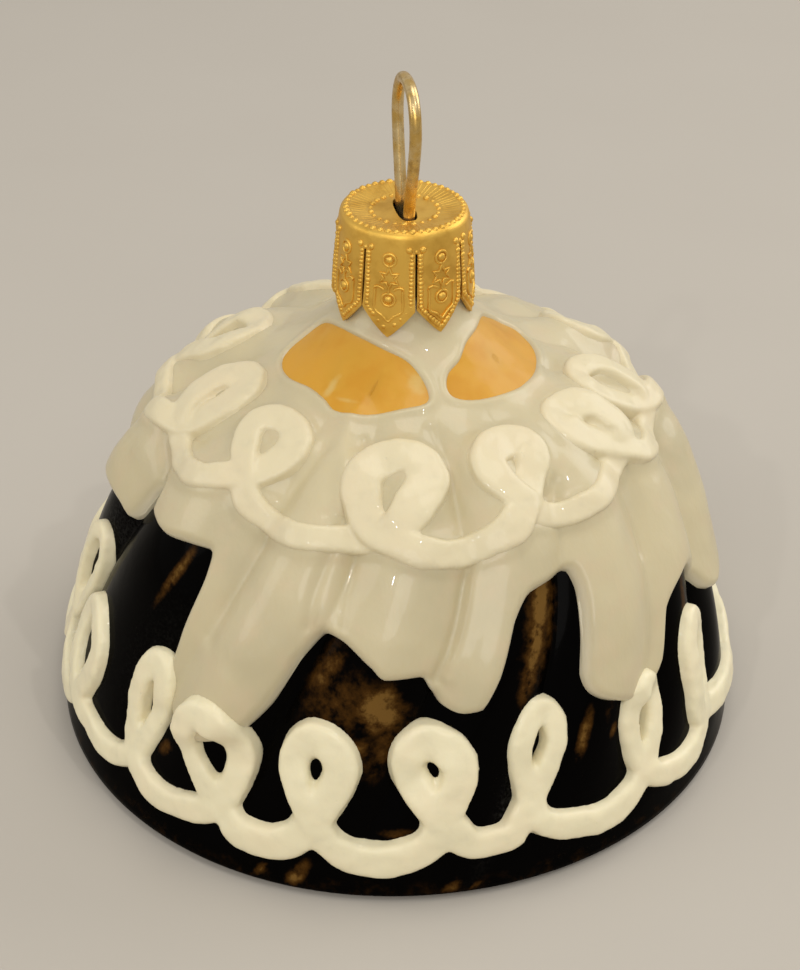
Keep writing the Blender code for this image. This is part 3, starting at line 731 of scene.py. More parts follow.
def icingCoat(route):
    # the poured coat, risen a little along the piped strand's route
    columns = edgeSteps(icing["columns"])
    count = len(columns)
    low = climbOf(icingEdge(columns))
    edgeRows = icing["edgeRows"]
    t = np.linspace(0, 1, edgeRows, endpoint=False)[:, None]
    sideRows = low + (icing["crownClimb"] - low) * (t + t * t) / 2
    crown = np.concatenate([np.linspace(icing["crownClimb"], icing["neckClimb"], icing["crownRows"]),
                            np.linspace(icing["neckClimb"] + 0.4, climbOf(icing["top"]), 5)])
    climb = np.vstack([sideRows, np.broadcast_to(crown[:, None], (len(crown), count))])
    bearing = columns + swirlOf(heightAt(climb))
    inside = np.maximum(toEdge(bearing, climb), 0)
    inside[0] = 0.0
    gap = np.maximum(strandGap(bearing, climb, route), 0)
    skirt = icing["skirtRise"] * np.exp(-(gap / icing["skirtReach"]) ** 2) * np.clip(inside, 0, 1)
    rise = icingRise(bearing, climb, inside) + skirt
    size, swing = icing["unevenness"]
    uneven = mottle(onDome(bearing, climb, rise), size, 1.0) * np.clip(inside / 2, 0, 1) * swing
    outer = onDome(bearing, climb, rise + uneven)
    # rings of the inner face, close together where the neck is hollow
    under = [*range(len(climb) - 1, edgeRows, -5), edgeRows * 2 // 3, edgeRows // 3, 0]
    inner = [onDome(bearing[k], climb[k], fluteRise(bearing[k], climb[k]) - icing["sink"]) for k in under]
    points = np.concatenate([outer, inner])
    piece = meshPiece("icingCoat", points, ringQuads(len(points), count, closed=True))
    # strength of the lip's painted highlight, fading inwards from the edge
    lip = 1 - smoothStep(*icing["lipHighlightSpan"], inside)
    addFloats(piece, "lip", np.vstack([lip, np.zeros((len(inner), count))]))
    piece.data.materials.append(icingMaterial())
    return settle(piece, "icing", slotName="ivory_icing")


def petalPiece(index):
    outline = petalOutlines[index]
    count = len(outline)
    middle = outline.mean(axis=0)
    rings = np.linspace(petals["underRim"], 0.0, petals["rings"])[:-1, None, None]
    # rows of (bearing, climb): the back's edge, the face from its edge inwards, and its middle
    face = middle + rings * (outline - middle)
    bearing, climb = np.moveaxis(face, -1, 0)
    level = icingLevel(bearing, climb) - petals["level"]
    size, swing = petals["unevenness"]
    uneven = mottle(onDome(bearing, climb, level), size, 4.0 + index) * swing
    back = onDome(bearing[:1], climb[:1], level[:1] - petals["thick"])
    centre = onDome(*middle, icingLevel(*middle) - petals["level"])
    shell = np.concatenate([back, onDome(bearing, climb, level + uneven)])
    points = np.vstack([shell.reshape(-1, 3), centre])
    last = len(rings) * count
    faces = ringQuads(len(rings) + 1, count)
    faces += [[last + c, last + (c + 1) % count, last + count] for c in range(count)]
    faces.append(list(reversed(range(count))))
    piece = meshPiece(f"orangePetal{index + 1}", points, faces)
    faceOut(piece)
    places = np.vstack([face[0], face.reshape(-1, 2), middle])
    milk = np.zeros(len(points))
    for *place, across, up, strength in petals["milk"]:
        milk = np.maximum(milk, strength * softPatch(*places.T, place, (across, up)))
    addFloats(piece, "milk", milk)
    piece.data.materials.append(bpy.data.materials.get("orangeGlaze") or petalMaterial())
    return settle(piece, f"orange_petal_{index + 1}", slotName="orange_glaze")


# piped curls
curls = {
    # each loop: bearing, climb, half width, half height, lean, widths of its left side, top and right
    "topLoops": (
        (-110.5, 33.4, 2.9, 3.5, 0.0, 2.4, 2.3, 2.5), (-71.5, 34.5, 1.7, 2.7, 0.0, 2.7, 3.0, 2.8),
        (-41.0, 34.5, 2.1, 2.1, -4.0, 2.3, 2.5, 2.7), (-1.8, 33.0, 2.5, 2.65, 10.0, 2.9, 3.0, 3.1),
        (32.0, 33.8, 2.15, 1.9, 14.0, 2.8, 2.9, 2.8), (64.5, 33.4, 2.0, 2.2, -20.0, 2.8, 3.1, 2.9),
        (88.0, 33.0, 1.9, 2.8, -12.0, 2.0, 2.1, 2.0), (124.0, 31.4, 2.0, 2.3, 0.0, 2.2, 2.3, 2.2),
        (158.0, 31.8, 2.6, 2.4, 0.0, 2.2, 2.4, 2.3), (203.0, 33.4, 2.4, 3.1, -8.0, 2.4, 2.5, 2.3)),
    # and each swag, before its loop: bearing, climb, width
    "topSwags": ((-137.0, 28.8, 2.0), (-90.0, 28.9, 1.9), (-57.0, 29.2, 1.9), (-21.5, 28.4, 1.9),
                 (11.0, 27.9, 2.2), (45.0, 28.6, 1.9), (78.0, 28.2, 1.9), (108.0, 27.6, 2.0),
                 (141.0, 27.6, 1.9), (177.0, 28.2, 1.9)),
    "baseLoops": (
        (-81.5, 13.2, 1.6, 4.6, 14.0, 1.5, 1.6, 1.5), (-67.5, 9.6, 2.7, 3.7, 0.0, 2.0, 2.1, 2.1),
        (-46.5, 10.4, 1.5, 4.1, 6.0, 1.8, 2.3, 1.9), (-30.5, 9.8, 2.35, 3.2, -12.0, 1.7, 2.8, 2.4),
        (-12.5, 10.6, 2.0, 2.7, 0.0, 2.2, 2.9, 2.6), (6.3, 10.9, 2.1, 2.5, -8.0, 2.7, 3.0, 2.7),
        (24.3, 11.5, 1.65, 2.9, 12.0, 1.9, 2.2, 1.8), (46.0, 9.9, 1.75, 3.1, 8.0, 1.9, 2.2, 1.8),
        (63.8, 10.4, 1.75, 4.1, 6.0, 2.3, 2.0, 1.8)),
    "baseSwags": ((-91.0, 3.6, 2.0), (-75.0, 3.2, 2.2), (-55.5, 3.6, 2.1), (-38.5, 3.4, 2.4),
                  (-21.5, 3.3, 2.9), (-3.2, 3.1, 2.8), (15.3, 4.2, 2.4), (35.0, 3.4, 2.5),
                  (54.5, 3.4, 2.3)),
    "baseHidden": (107.0, 260.0, 10),  # bearings of the first and last loop behind, and how many
    "step": 0.22,
    "soften": 11,  # steps over which the route is averaged
    "topFlat": 2.5,  # half the length of a swag's level run
    "baseFlat": 2.1,
    "swagDip": 0.35,
    "footOut": 1.0,  # a foot's two strands stand this far each side of its middle
    "footShare": 0.32,
    "footFrom": 2.5,  # only a loop this much above its swag has a foot
    "angles": (-70, -22, 15, 52, 90, 128, 165, 202, 250),  # round a loop, from right to left
    "overSpan": (4, 8),  # the angles between which the strand climbs to cross itself
    "endShare": 0.22,  # a loop's ends: their share of its half width, and their drop under it
    "endDrop": 0.7,
    "lowShare": 0.9,
    "topOver": 0.05,
    "baseOver": 0.07,
    "topHeight": 0.68,
    "baseHeight": 0.85,
    "topVoxel": 0.175,
    "baseVoxel": 0.235,
    "squareness": 4.2,  # of the strand's section
    "shoulder": 0.15,
    "flare": 1.14,
    "sink": 0.35,  # the strand's underside reaches this far into the icing or glass
    "seat": 0.05,
    "sway": 0.14,
    "unevenness": (2.2, 0.09, 0.03),  # mm between humps, their rise, and a swelling all over
}


def baseRing():
    # the far side of the base ring repeats the near loops at an even pitch
    near = curls["baseLoops"]
    loops = list(near)
    swags = list(curls["baseSwags"])
    first, last, hidden = curls["baseHidden"]
    for k, bearing in enumerate(np.linspace(first, last, hidden)):
        like = (3 * k + 2) % (len(near) - 1) + 1
        before = (bearing + loops[-1][0]) / 2
        loops.append((bearing,) + near[like][1:])
        swags.append((before,) + curls["baseSwags"][like][1:])
    return loops, swags


def loopRoute(loop, swag, nextSwag, flat, most):
    # rows of (bearing, climb, width, lift) from one swag up round the loop to just before the next
    bearing, climb, halfWidth, halfHeight, lean, left, top, right = loop
    lean = np.tan(radians(lean))
    dip = curls["swagDip"]
    shift = degrees(flat / radiusAt(swag[1]))
    rows = [(swag[0] + k * shift, swag[1] + k * k * dip, swag[2], 0.0) for k in (-1, -0.5, 0, 0.5, 1)]
    angles = curls["angles"]
    for k, angle in enumerate(angles):
        x = halfWidth * cos(radians(angle))
        y = halfHeight * sin(radians(angle))
        width = np.interp(angle, (-10, 90, 190), (right, top, left))
        over = most * smoothStep(*curls["overSpan"], float(k))
        near, way = {0: (swag, 1), len(angles) - 1: (nextSwag, -1)}.get(k, (None, 0))
        if near:
            x = curls["endShare"] * halfWidth * way
            y = -halfHeight - curls["endDrop"]
            width = (width + near[2]) / 2
        elif y < 0:
            x *= curls["lowShare"]
        x += y * lean
        turn = [(bearing + degrees(x / radiusAt(climb + y)), climb + y, width, over)]
        if near and climb + y - near[1] > curls["footFrom"]:
            # a long way down to the swag gets a foot, where the strand turns out
            low = near[1] + dip - climb
            middle = low + (y - low) * curls["footShare"]
            footX = -curls["footOut"] * way + middle * lean
            foot = (bearing + degrees(footX / radiusAt(climb + middle)), climb + middle, width, over)
            turn = [foot] + turn if way > 0 else turn + [foot]
        rows += turn
    return rows


def pipedRoute(loops, swags, flat, most):
    rows = []
    for i, (loop, swag) in enumerate(zip(loops, swags)):
        nextSwag = swags[(i + 1) % len(loops)]
        if i + 1 == len(loops):
            nextSwag = (nextSwag[0] + 360,) + nextSwag[1:]
        rows += loopRoute(loop, swag, nextSwag, flat, most)
    rows = np.array(rows)
    rows = np.vstack([rows[-1:] - (360, 0, 0, 0), rows, rows[:2] + (360, 0, 0, 0)])
    fine = 12
    return evenRoute(throughPoints(rows, fine)[fine:-2 * fine])


def averaged(row, steps):
    # smoothed over so many steps
    window = np.hanning(steps + 2)
    return np.convolve(row, window / window.sum(), mode="same")


def evenRoute(route):
    # the closed route in even steps, its corners softened
    count = len(route)
    spare = 40  # steps past both ends, cut off again
    looped = np.vstack([route, route, route])
    looped[:, 0] += np.repeat((-360.0, 0.0, 360.0), count)
    stepX = np.radians(np.diff(looped[:, 0])) * radiusAt(looped[1:, 1])
    along = np.concatenate([[0.0], np.cumsum(np.hypot(stepX, np.diff(looped[:, 1])))])
    start, end = along[count], along[2 * count]
    steps = int((end - start) / curls["step"])
    spots = start + (end - start) * np.arange(-spare, steps + spare) / steps
    even = [averaged(np.interp(spots, along, column), curls["soften"]) for column in looped.T]
    return np.stack(even, axis=-1)[spare:-spare]


def routeRun(route):
    # the route's direction, as (across, up) on the dome
    stepX = np.radians(np.gradient(route[:, 0])) * radiusAt(route[:, 1])
    stepY = np.gradient(route[:, 1])
    length = np.hypot(stepX, stepY)
    return stepX / length, stepY / length


def strandGap(bearing, climb, route):
    # distance in mm from each place to the side of the nearest strand
    gap = np.full(bearing.shape, farOff)
    near = (climb > route[:, 1].min() - 4) & (climb < route[:, 1].max() + 4)
    gap[near] = nearestGap(bearing[near], climb[near], *route[::2, :3].T)
    return gap


def pipedCurls(name, route, height, voxel, seed):
    # a flat strand swept along the route, its crossings melted together by a remesh
    bearing, climb, width, over = route.T
    runX, runY = routeRun(route)

    def beside(offset):
        return bearing - np.degrees(offset * runY / radiusAt(climb)), climb + offset * runX

    sides = [beside(half * width * curls["flare"]) for half in (-0.5, 0.5)]
    (first, firstRise), (last, lastRise) = [(side, topSurface(*side)) for side in sides]
    lift = np.maximum(topSurface(bearing, climb), (firstRise + lastRise) / 2)
    lift = averaged(np.pad(lift, 6, mode="wrap"), 11)[6:-6] + over
    sway = 1 + curls["sway"] * np.array([noise.noise((k * 0.09, seed, 0.0)) for k in range(len(route))])
    arch = []
    for turn in np.linspace(pi, 0, 15):
        across = np.sign(cos(turn)) * abs(cos(turn)) ** (2 / curls["squareness"]) / 2
        up = curls["shoulder"] + (1 - curls["shoulder"]) * sin(turn) ** (2 / curls["squareness"])
        arch.append(onDome(*beside(across * width * sway), lift + up * height))
    sink, seat = curls["sink"], curls["seat"]
    points = np.array([onDome(*first, firstRise - sink), onDome(*first, firstRise + seat), *arch,
                       onDome(*last, lastRise + seat), onDome(*last, lastRise - sink)]).transpose(1, 0, 2)
    piece = meshPiece(name, points, ringQuads(*points.shape[:2], closed=True))
    faceOut(piece)
    remesh = piece.modifiers.new("melt", "REMESH")
    remesh.mode = "VOXEL"
    remesh.voxel_size = voxel * mm
    remesh.use_smooth_shade = True
    relax = piece.modifiers.new("relax", "SMOOTH")
    relax.factor = 0.5
    relax.iterations = 4
    flatten(piece)
    vertices = piece.data.vertices
    points, normals = np.empty((2, len(vertices), 3))
    vertices.foreach_get("co", points.reshape(-1))
    vertices.foreach_get("normal", normals.reshape(-1))
    size, swing, swell = curls["unevenness"]
    points += normals * (mottle(points, size, seed)[:, None] * swing + swell) * mm
    vertices.foreach_set("co", points.reshape(-1))
    piece.data.update()
    piece.data.shade_smooth()
    return piece


def flatten(piece):
    # the evaluated mesh takes the place of the modifiers
    evaluated = piece.evaluated_get(bpy.context.evaluated_depsgraph_get())
    mesh = bpy.data.meshes.new_from_object(evaluated)
    piece.modifiers.clear()
    piece.data = mesh
    mesh.name = piece.name
    return piece


# stamped cap: a sheet with tabs, on which Geometry Nodes lay its beads and raised lines
cap = {
    "tabs": 8,
    "slitBearing": 10.8,
    "slitHalf": 0.95,  # degrees
    "sheet": 0.3,
    "top": 46.3,
    "centre": (-0.04, 0.10),
    # distance down from the top, and the wall's radius there
    "wall": ((0.9, 5.27), (1.6, 5.35), (4.4, 5.55), (6.4, 5.7), (8.8, 5.74)),
    # radius and drop from the rim's top, from the dish outwards and down to the slits
    "topRings": ((2.9, -0.28), (3.3, -0.22), (3.9, -0.12), (4.35, -0.02), (4.67, 0.0), (4.95, -0.1),
                 (5.12, -0.3), (5.2, -0.55), (5.25, -0.9), (5.3, -1.2), (5.35, -1.6)),
    "slotLength": 4.2,
    "slotWidth": 1.6,
    "slotTurn": 13.0,
    "slotPowers": (0.6, 0.8),
    "slotDrop": -0.3,
    "tabRows": 26,
    "tabColumns": 14,
    "corner": -6.5,
    "tip": -8.8,
    "tipPower": 1.15,
    "tabCurl": 0.12,
    "tabRadius": 5.5,
}


def capPoint(bearing, drop, lift=0.0):
    # a place on the outer face of the cap's wall
    down, radii = np.transpose(cap["wall"])
    return discPoint(np.interp(-np.asarray(drop, float), down, radii) + lift, bearing, drop)


def discPoint(radius, bearing, drop):
    return roundAxis(radius, bearing, cap["top"] + drop, cap["centre"])


def tabMiddles():
    return [cap["slitBearing"] + 360 / cap["tabs"] * (k + 0.5) for k in range(cap["tabs"])]


def capSheet():
    half = 180 / cap["tabs"] - cap["slitHalf"]
    wide = cap["tabColumns"] + 1
    columns = np.concatenate([middle + np.linspace(-half, half, wide) for middle in tabMiddles()])
    count = len(columns)
    # the slot for the wire, turned with it, then rings out to the dish and down to the slits
    turn = radians(cap["slotTurn"])
    angle = np.radians(columns) - turn
    endPower, sidePower = cap["slotPowers"]
    x = cap["slotWidth"] / 2 * np.sign(np.sin(angle)) * np.abs(np.sin(angle)) ** endPower
    y = -cap["slotLength"] / 2 * np.sign(np.cos(angle)) * np.abs(np.cos(angle)) ** sidePower
    slotX, slotY = x * cos(turn) - y * sin(turn), x * sin(turn) + y * cos(turn)
    rows = [np.stack([slotX, slotY, np.full(count, cap["top"] + cap["slotDrop"])], axis=-1) * mm]
    dish, dishDrop = cap["topRings"][0]
    slotRadius = np.hypot(x, y)
    for share in (0.35, 0.7):
        rows.append(discPoint(slotRadius + (dish - slotRadius) * share, columns, dishDrop - 0.06))
    rows += [discPoint(radius, columns, drop) for radius, drop in cap["topRings"]]
    faces = ringQuads(len(rows), count)
    start = (len(rows) - 1) * count
    tabs = [np.array(rows).reshape(-1, 3)]
    made = len(rows) * count
    across = np.linspace(-1, 1, wide)
    down = np.linspace(0, 1, cap["tabRows"] + 1)[1:, None]
    bottom = cap["tip"] + (cap["corner"] - cap["tip"]) * np.abs(across) ** cap["tipPower"]
    drop = cap["topRings"][-1][1] + (bottom - cap["topRings"][-1][1]) * down
    for k, middle in enumerate(tabMiddles()):
        # each tab's end bends in or out a little
        curl = cap["tabCurl"] * smoothStep(0.6, 1.0, down) * ((k * 37) % 5 - 2) / 2
        tabs.append(capPoint(middle + half * across, drop, curl).reshape(-1, 3))
        first = start + k * wide
        faces += [[first + c, first + c + 1, made + c + 1, made + c] for c in range(wide - 1)]
        faces += sheetQuads(cap["tabRows"], wide, made)
        made += cap["tabRows"] * wide
    piece = meshPiece("capSheet", np.vstack(tabs), [list(reversed(f)) for f in faces])
    sheet = piece.modifiers.new("sheet", "SOLIDIFY")
    sheet.thickness = cap["sheet"] * mm
    sheet.offset = -1.0
    return flatten(piece)


def lineObject(name, lines):
    # guide lines for the node trees: each is a row of points
    points = np.vstack(lines)
    edges = []
    start = 0
    for line in lines:
        edges += [(start + k, start + k + 1) for k in range(len(line) - 1)]
        start += len(line)
    mesh = bpy.data.meshes.new(name)
    mesh.from_pydata(points.tolist(), edges, [])
    guide = bpy.data.objects.new(name, mesh)
    bpy.context.scene.collection.objects.link(guide)
    return guide


def newGeometryTree(name, inputs):
    group = bpy.data.node_groups.new(name, "GeometryNodeTree")
    group.interface.new_socket("Geometry", in_out="INPUT", socket_type="NodeSocketGeometry")
    for label, kind, default in inputs:
        socket = group.interface.new_socket(label, in_out="INPUT", socket_type=kind)
        if default is not None:
            socket.default_value = default
    group.interface.new_socket("Geometry", in_out="OUTPUT", socket_type="NodeSocketGeometry")
    return group, Tree(group)


def finishTree(tree, geometry, finish):
    smooth = tree.make("GeometryNodeSetShadeSmooth", {}, {"Geometry": geometry})
    painted = tree.make("GeometryNodeSetMaterial", {}, {"Geometry": smooth, "Material": finish})
    tree.links.new(painted.socket, tree.nodes.new("NodeGroupOutput").inputs[0])


def beadTree():
    group, tree = newGeometryTree("beadedLine", (
        ("Spacing", "NodeSocketFloat", 0.5 * mm), ("Bead radius", "NodeSocketFloat", 0.2 * mm),
        ("Unevenness", "NodeSocketFloat", 0.15), ("Seed", "NodeSocketInt", 1),
        ("Finish", "NodeSocketMaterial", None)))
    given = tree.make("NodeGroupInput")
    radius = tree.outputOf(given, "Bead radius")
    uneven = tree.outputOf(given, "Unevenness")
    line = tree.make("GeometryNodeMeshToCurve", {}, {"Mesh": tree.outputOf(given, "Geometry")})
    spots = tree.make("GeometryNodeCurveToPoints", {"mode": "LENGTH"},
                      {"Curve": line, "Length": tree.outputOf(given, "Spacing")})
    bead = tree.make("GeometryNodeMeshUVSphere", {}, {"Segments": 10, "Rings": 6, "Radius": radius})
    size = tree.make("FunctionNodeRandomValue", {"data_type": "FLOAT"},
                     {2: 1 - uneven, 3: 1 + uneven, "Seed": tree.outputOf(given, "Seed")}, out=1)
    beads = tree.make("GeometryNodeInstanceOnPoints", {},
                      {"Points": spots, "Instance": bead, "Scale": size})
    solid = tree.make("GeometryNodeRealizeInstances", {}, {"Geometry": beads})
    finishTree(tree, solid, tree.outputOf(given, "Finish"))
    return group


def raisedLineTree():
    group, tree = newGeometryTree("raisedLine", (
        ("Line radius", "NodeSocketFloat", 0.1 * mm), ("Sides", "NodeSocketInt", 8),
        ("Finish", "NodeSocketMaterial", None)))
    given = tree.make("NodeGroupInput")
    line = tree.make("GeometryNodeMeshToCurve", {}, {"Mesh": tree.outputOf(given, "Geometry")})
    ring = tree.make("GeometryNodeCurvePrimitiveCircle", {"mode": "RADIUS"}, {
        "Resolution": tree.outputOf(given, "Sides"), "Radius": tree.outputOf(given, "Line radius")})
    tube = tree.make("GeometryNodeCurveToMesh", {},
                     {"Curve": line, "Profile Curve": ring, "Fill Caps": True})
    solid = tree.make("GeometryNodeRealizeInstances", {}, {"Geometry": tube})
    finishTree(tree, solid, tree.outputOf(given, "Finish"))
    return group


def grow(guide, group, values):
    # runs a tree on the guide lines and keeps its result as a plain mesh
    modifier = guide.modifiers.new(group.name, "NODES")
    modifier.node_group = group
    for item in group.interface.items_tree:
        if item.item_type == "SOCKET" and item.in_out == "INPUT" and item.name in values:
            modifier[item.identifier] = values[item.name]
    return flatten(guide)


def joined(name, pieces):
    # one mesh from several pieces that share a finish
    points, faces, start = [], [], 0
    for piece in pieces:
        mesh = piece.data
        points += [tuple(v.co) for v in mesh.vertices]
        faces += [[start + v for v in p.vertices] for p in mesh.polygons]
        start = len(points)
        bpy.data.objects.remove(piece, do_unlink=True)
    return meshPiece(name, points, faces)


motif = {
    # a tab's stamping, in mm right of its middle and below its slit
    "bosses": ((0.0, 0.6, 0.4), (0.0, 3.95, 0.42)),
    "bossRing": 0.52,
    "star": (0.0, 2.15, 0.85, 0.42, 6),
    "stems": (((0.0, 1.05), (0.0, 1.45)), ((0.0, 2.75), (0.0, 3.45))),
    "bars": (((-1.15, 3.0), (-0.8, 2.9), (-0.4, 3.1)), ((0.4, 3.1), (0.8, 2.9), (1.15, 3.0))),
    "frame": ((-1.12, 3.1), (-1.12, 4.7), (-0.9, 5.1), (-0.55, 5.3), (-0.3, 5.55), (0.0, 5.85),
              (0.3, 5.55), (0.55, 5.3), (0.9, 5.1), (1.12, 4.7), (1.12, 3.1)),
    "lineRadius": 0.12,
    "ridgeInset": 0.24,
    "beadRadius": 0.24,
    "beadSpacing": 0.33,
    # rings of beads on the top: how many, ring radius, drop, bead radius, seed
    "beadRings": ((47, 4.67, -0.13, 0.27, 5), (24, 2.72, -0.4, 0.24, 7)),
    "ribs": 60,  # fine ribs between those rings
    "ribSpan": (3.05, 4.35),
    "ribRadius": 0.07,
    "slitBosses": ((0.55, -0.25, 0.3), (-0.55, -0.25, 0.3), (0.0, -0.1, 0.2)),
}


def tabPlace(middle, across, down, lift=0.0):
    bearing = middle + np.degrees(np.asarray(across, float) / cap["tabRadius"])
    return capPoint(bearing, cap["topRings"][-1][1] - np.asarray(down, float), lift)


def capStamping(finish):
    lines, beadLines, bosses = [], [], []
    slitTop = cap["topRings"][-1][1]
    edgeX = radians(180 / cap["tabs"] - cap["slitHalf"]) * cap["tabRadius"] - motif["ridgeInset"]
    shoulder = (edgeX * 0.96, slitTop - cap["corner"] - 0.2)
    half = [(edgeX, 0.25), shoulder, (0.0, slitTop - cap["tip"] - 0.2 - motif["ridgeInset"] * 1.3)]
    edge = [(-x, y) for x, y in half[:2]] + half[::-1]
    ridge = np.vstack([np.linspace(a, b, 12, endpoint=False) for a, b in zip(edge, edge[1:])] + [edge[-1:]])
    around = np.linspace(0, 2 * pi, 25)
    for middle in tabMiddles():
        for path in (*motif["stems"], *motif["bars"], motif["frame"]):
            route = throughPoints(path, 4)
            wobble = np.array([noise.noise((middle, k * 0.9, 0.0)) for k in range(len(route))]) * 0.08
            lines.append(tabPlace(middle, route[:, 0] + wobble, route[:, 1]))
        x, y, outer, inner, points = motif["star"]
        reach = inner + (outer - inner) * (0.5 + 0.5 * np.cos(points * around)) ** 1.5
        lines.append(tabPlace(middle, x + reach * np.sin(around), y - reach * np.cos(around)))
        for x, y, size in motif["bosses"]:
            ring = motif["bossRing"]
            lines.append(tabPlace(middle, x + ring * np.sin(around), y + ring * np.cos(around)))
            bosses.append((size, tabPlace(middle, (x, x + 0.01), (y, y), -0.16)))
        beadLines.append(tabPlace(middle, *ridge.T, -0.1))
        slit = middle + 180 / cap["tabs"]
        for x, y, size in motif["slitBosses"]:
            bosses.append((size, tabPlace(slit, (x, x + 0.01), (y, y), -0.1)))
    ribs = []
    radii = np.linspace(*motif["ribSpan"], 5)
    for k in range(motif["ribs"]):
        bearing = 360 * (k + 0.3 * noise.noise((k * 0.7, 2.0, 0.0))) / motif["ribs"]
        ribs.append(discPoint(radii, bearing, np.interp(radii, *np.transpose(cap["topRings"])) - 0.05))
    made = []
    lineTree = raisedLineTree()
    for guides, radius in ((lines, motif["lineRadius"]), (ribs, motif["ribRadius"])):
        made.append(grow(lineObject("stampedLines", guides), lineTree, {
            "Line radius": radius * mm, "Sides": 8, "Finish": finish}))
    # rows of beads: guide lines, spacing, bead radius, unevenness, seed
    rows = [(beadLines, motif["beadSpacing"], motif["beadRadius"], 0.2, 3)]
    for count, radius, drop, size, seed in motif["beadRings"]:
        circle = discPoint(radius, np.linspace(0, 360, 181), drop)
        rows.append(([circle], 2 * pi * radius / count, size, 0.2, seed))
    # a guide shorter than the spacing gets a single bead, so bosses of one size share a row
    for size in sorted({size for size, _ in bosses}):
        rows.append(([guide for own, guide in bosses if own == size], 1.0, size, 0.05, 11))
    bead = beadTree()
    for guides, spacing, radius, uneven, seed in rows:
        made.append(grow(lineObject("beads", guides), bead, {
            "Spacing": spacing * mm, "Bead radius": radius * mm, "Unevenness": uneven, "Seed": seed,
            "Finish": finish}))
    return made


def metalCap():
    finish = goldMaterial()
    piece = joined("stampedCap", [capSheet()] + capStamping(finish))
    piece.data.set_sharp_from_angle(angle=radians(50))
    piece.data.materials.append(finish)
    return settle(piece, "cap", slotName="gold_cap")


# wire loop
wire = {
    "radius": 0.48,
    "turn": 13.0,
    "half": ((2.0, 40.6), (1.75, 42.6), (1.5, 44.8), (1.5, 46.4), (2.05, 48.6), (2.75, 51.0),
             (3.2, 53.2), (2.85, 55.1), (1.75, 56.4), (0.0, 56.8)),
}


def wireLoop():
    half = list(wire["half"])
    route = throughPoints(half + [(-y, z) for y, z in reversed(half[:-1])], 10)
    turn = radians(wire["turn"])
    line = np.stack([-route[:, 0] * sin(turn), route[:, 0] * cos(turn), route[:, 1]], axis=-1) * mm
    piece = grow(lineObject("wireLoop", [line]), bpy.data.node_groups["raisedLine"], {
        "Line radius": wire["radius"] * mm, "Sides": 24, "Finish": wireMaterial()})
    return settle(piece, "hanger", slotName="worn_wire")


# stage, light and camera
camera = {
    "place": (0.0, -145.1, 116.0),
    "tilt": 0.586,  # radians below the horizon
    "roll": 0.018,
    "focal": 2007.0,  # in pixels, for a frame this many pixels high
    "high": 970.0,
    "sensor": 36.0,
}

lights = {
    # name: place mm, size mm, watts, colour
    "overhead": ((70.0, 40.0, 420.0), 220.0, 0.35, (1.0, 0.96, 0.9)),
    "back": ((390.0, 220.0, 270.0), 400.0, 0.8, (1.0, 0.99, 0.97)),
    "front": ((0.0, -380.0, 260.0), 220.0, 0.36, (1.0, 0.97, 0.93)),
    "left": ((-380.0, -90.0, 190.0), 220.0, 0.2, (1.0, 0.97, 0.93)),
    "sparkLeft": ((-150.0, -300.0, 300.0), 12.0, 0.15, (1.0, 0.98, 0.95)),
    "sparkRight": ((170.0, -180.0, 380.0), 12.0, 0.15, (1.0, 0.98, 0.95)),
}


stage = {
    "floor": 3.0,  # half width, metres
    "air": 0.62,
    "airColour": (1.0, 0.97, 0.93),
    "aim": (0.0, 0.0, 20.0),  # what the lamps point at, mm
}


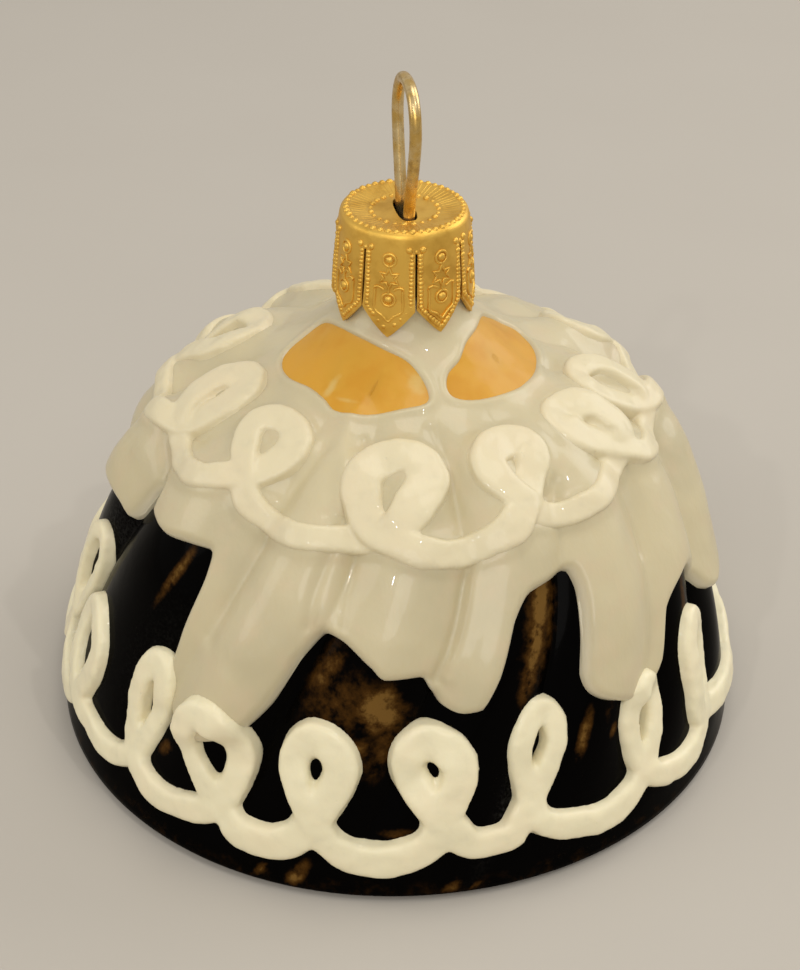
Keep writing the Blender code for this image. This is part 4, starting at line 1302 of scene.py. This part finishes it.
def studio():
    reach = stage["floor"]
    corners = [(-reach, -reach, 0), (reach, -reach, 0), (reach, reach, 0), (-reach, reach, 0)]
    floor = meshPiece("floor", np.array(corners), [[0, 1, 2, 3]], smooth=False)
    floor.data.materials.append(floorMaterial())
    world = bpy.data.worlds.new("studioAir")
    world.use_nodes = True
    air = world.node_tree.nodes["Background"].inputs
    air["Color"].default_value = (*stage["airColour"], 1)
    air["Strength"].default_value = stage["air"]
    bpy.context.scene.world = world
    for name, (place, size, power, colour) in lights.items():
        lamp = bpy.data.lights.new(name, "AREA")
        lamp.shape = "DISK"
        lamp.size = size * mm
        lamp.energy = power
        lamp.color = colour
        holder = bpy.data.objects.new(name, lamp)
        where = np.array(place) * mm
        holder.matrix_world = Matrix.Translation(where) @ lookAlong(np.array(stage["aim"]) * mm - where)
        bpy.context.scene.collection.objects.link(holder)
    bpy.context.scene.view_settings.view_transform = "Standard"


def lookAlong(direction):
    back = -np.array(direction, float)
    back /= np.linalg.norm(back)
    right = np.cross((0.0, 0.0, 1.0), back)
    right /= np.linalg.norm(right)
    up = np.cross(back, right)
    return Matrix([[*row, 0] for row in np.stack([right, up, back], axis=-1)] + [[0, 0, 0, 1]])


def standCamera():
    tilt, roll = camera["tilt"], camera["roll"]
    level = lookAlong((0.0, cos(tilt), -sin(tilt)))
    lens = bpy.data.cameras.new("camera")
    lens.sensor_fit = "VERTICAL"
    lens.sensor_height = camera["sensor"]
    lens.lens = camera["focal"] / camera["high"] * camera["sensor"]
    lens.clip_start = 0.005
    holder = bpy.data.objects.new("camera", lens)
    place = Matrix.Translation(np.array(camera["place"]) * mm)
    holder.matrix_world = place @ level @ Matrix.Rotation(roll, 4, "Z")
    bpy.context.scene.collection.objects.link(holder)
    bpy.context.scene.camera = holder


def build():
    standCamera()
    studio()
    print("stage and camera ready")
    glassBody()
    print("glass body made")
    topRoute = pipedRoute(curls["topLoops"], curls["topSwags"], curls["topFlat"], curls["topOver"])
    baseRoute = pipedRoute(*baseRing(), curls["baseFlat"], curls["baseOver"])
    icingCoat(topRoute)
    print("icing made")
    for index in range(len(petalOutlines)):
        petalPiece(index)
    print("petals made")
    # the foot's finish is the lighter copy of the crown's, with painted light
    rings = (
        ("curlsTop", topRoute, curls["topHeight"], curls["topVoxel"], "curls_top", "crown", 2.0),
        ("curlsBase", baseRoute, curls["baseHeight"], curls["baseVoxel"], "curls_base", "foot", 9.0))
    for name, route, height, voxel, node, finish, seed in rings:
        piece = pipedCurls(name, route, height, voxel, seed)
        piece.data.materials.append(pipingMaterial(finish))
        settle(piece, node, slotName="cream_piping")
        print(name, "piped,", len(piece.data.polygons), "faces")
    metalCap()
    print("cap stamped")
    wireLoop()
    print("wire loop bent")


build()
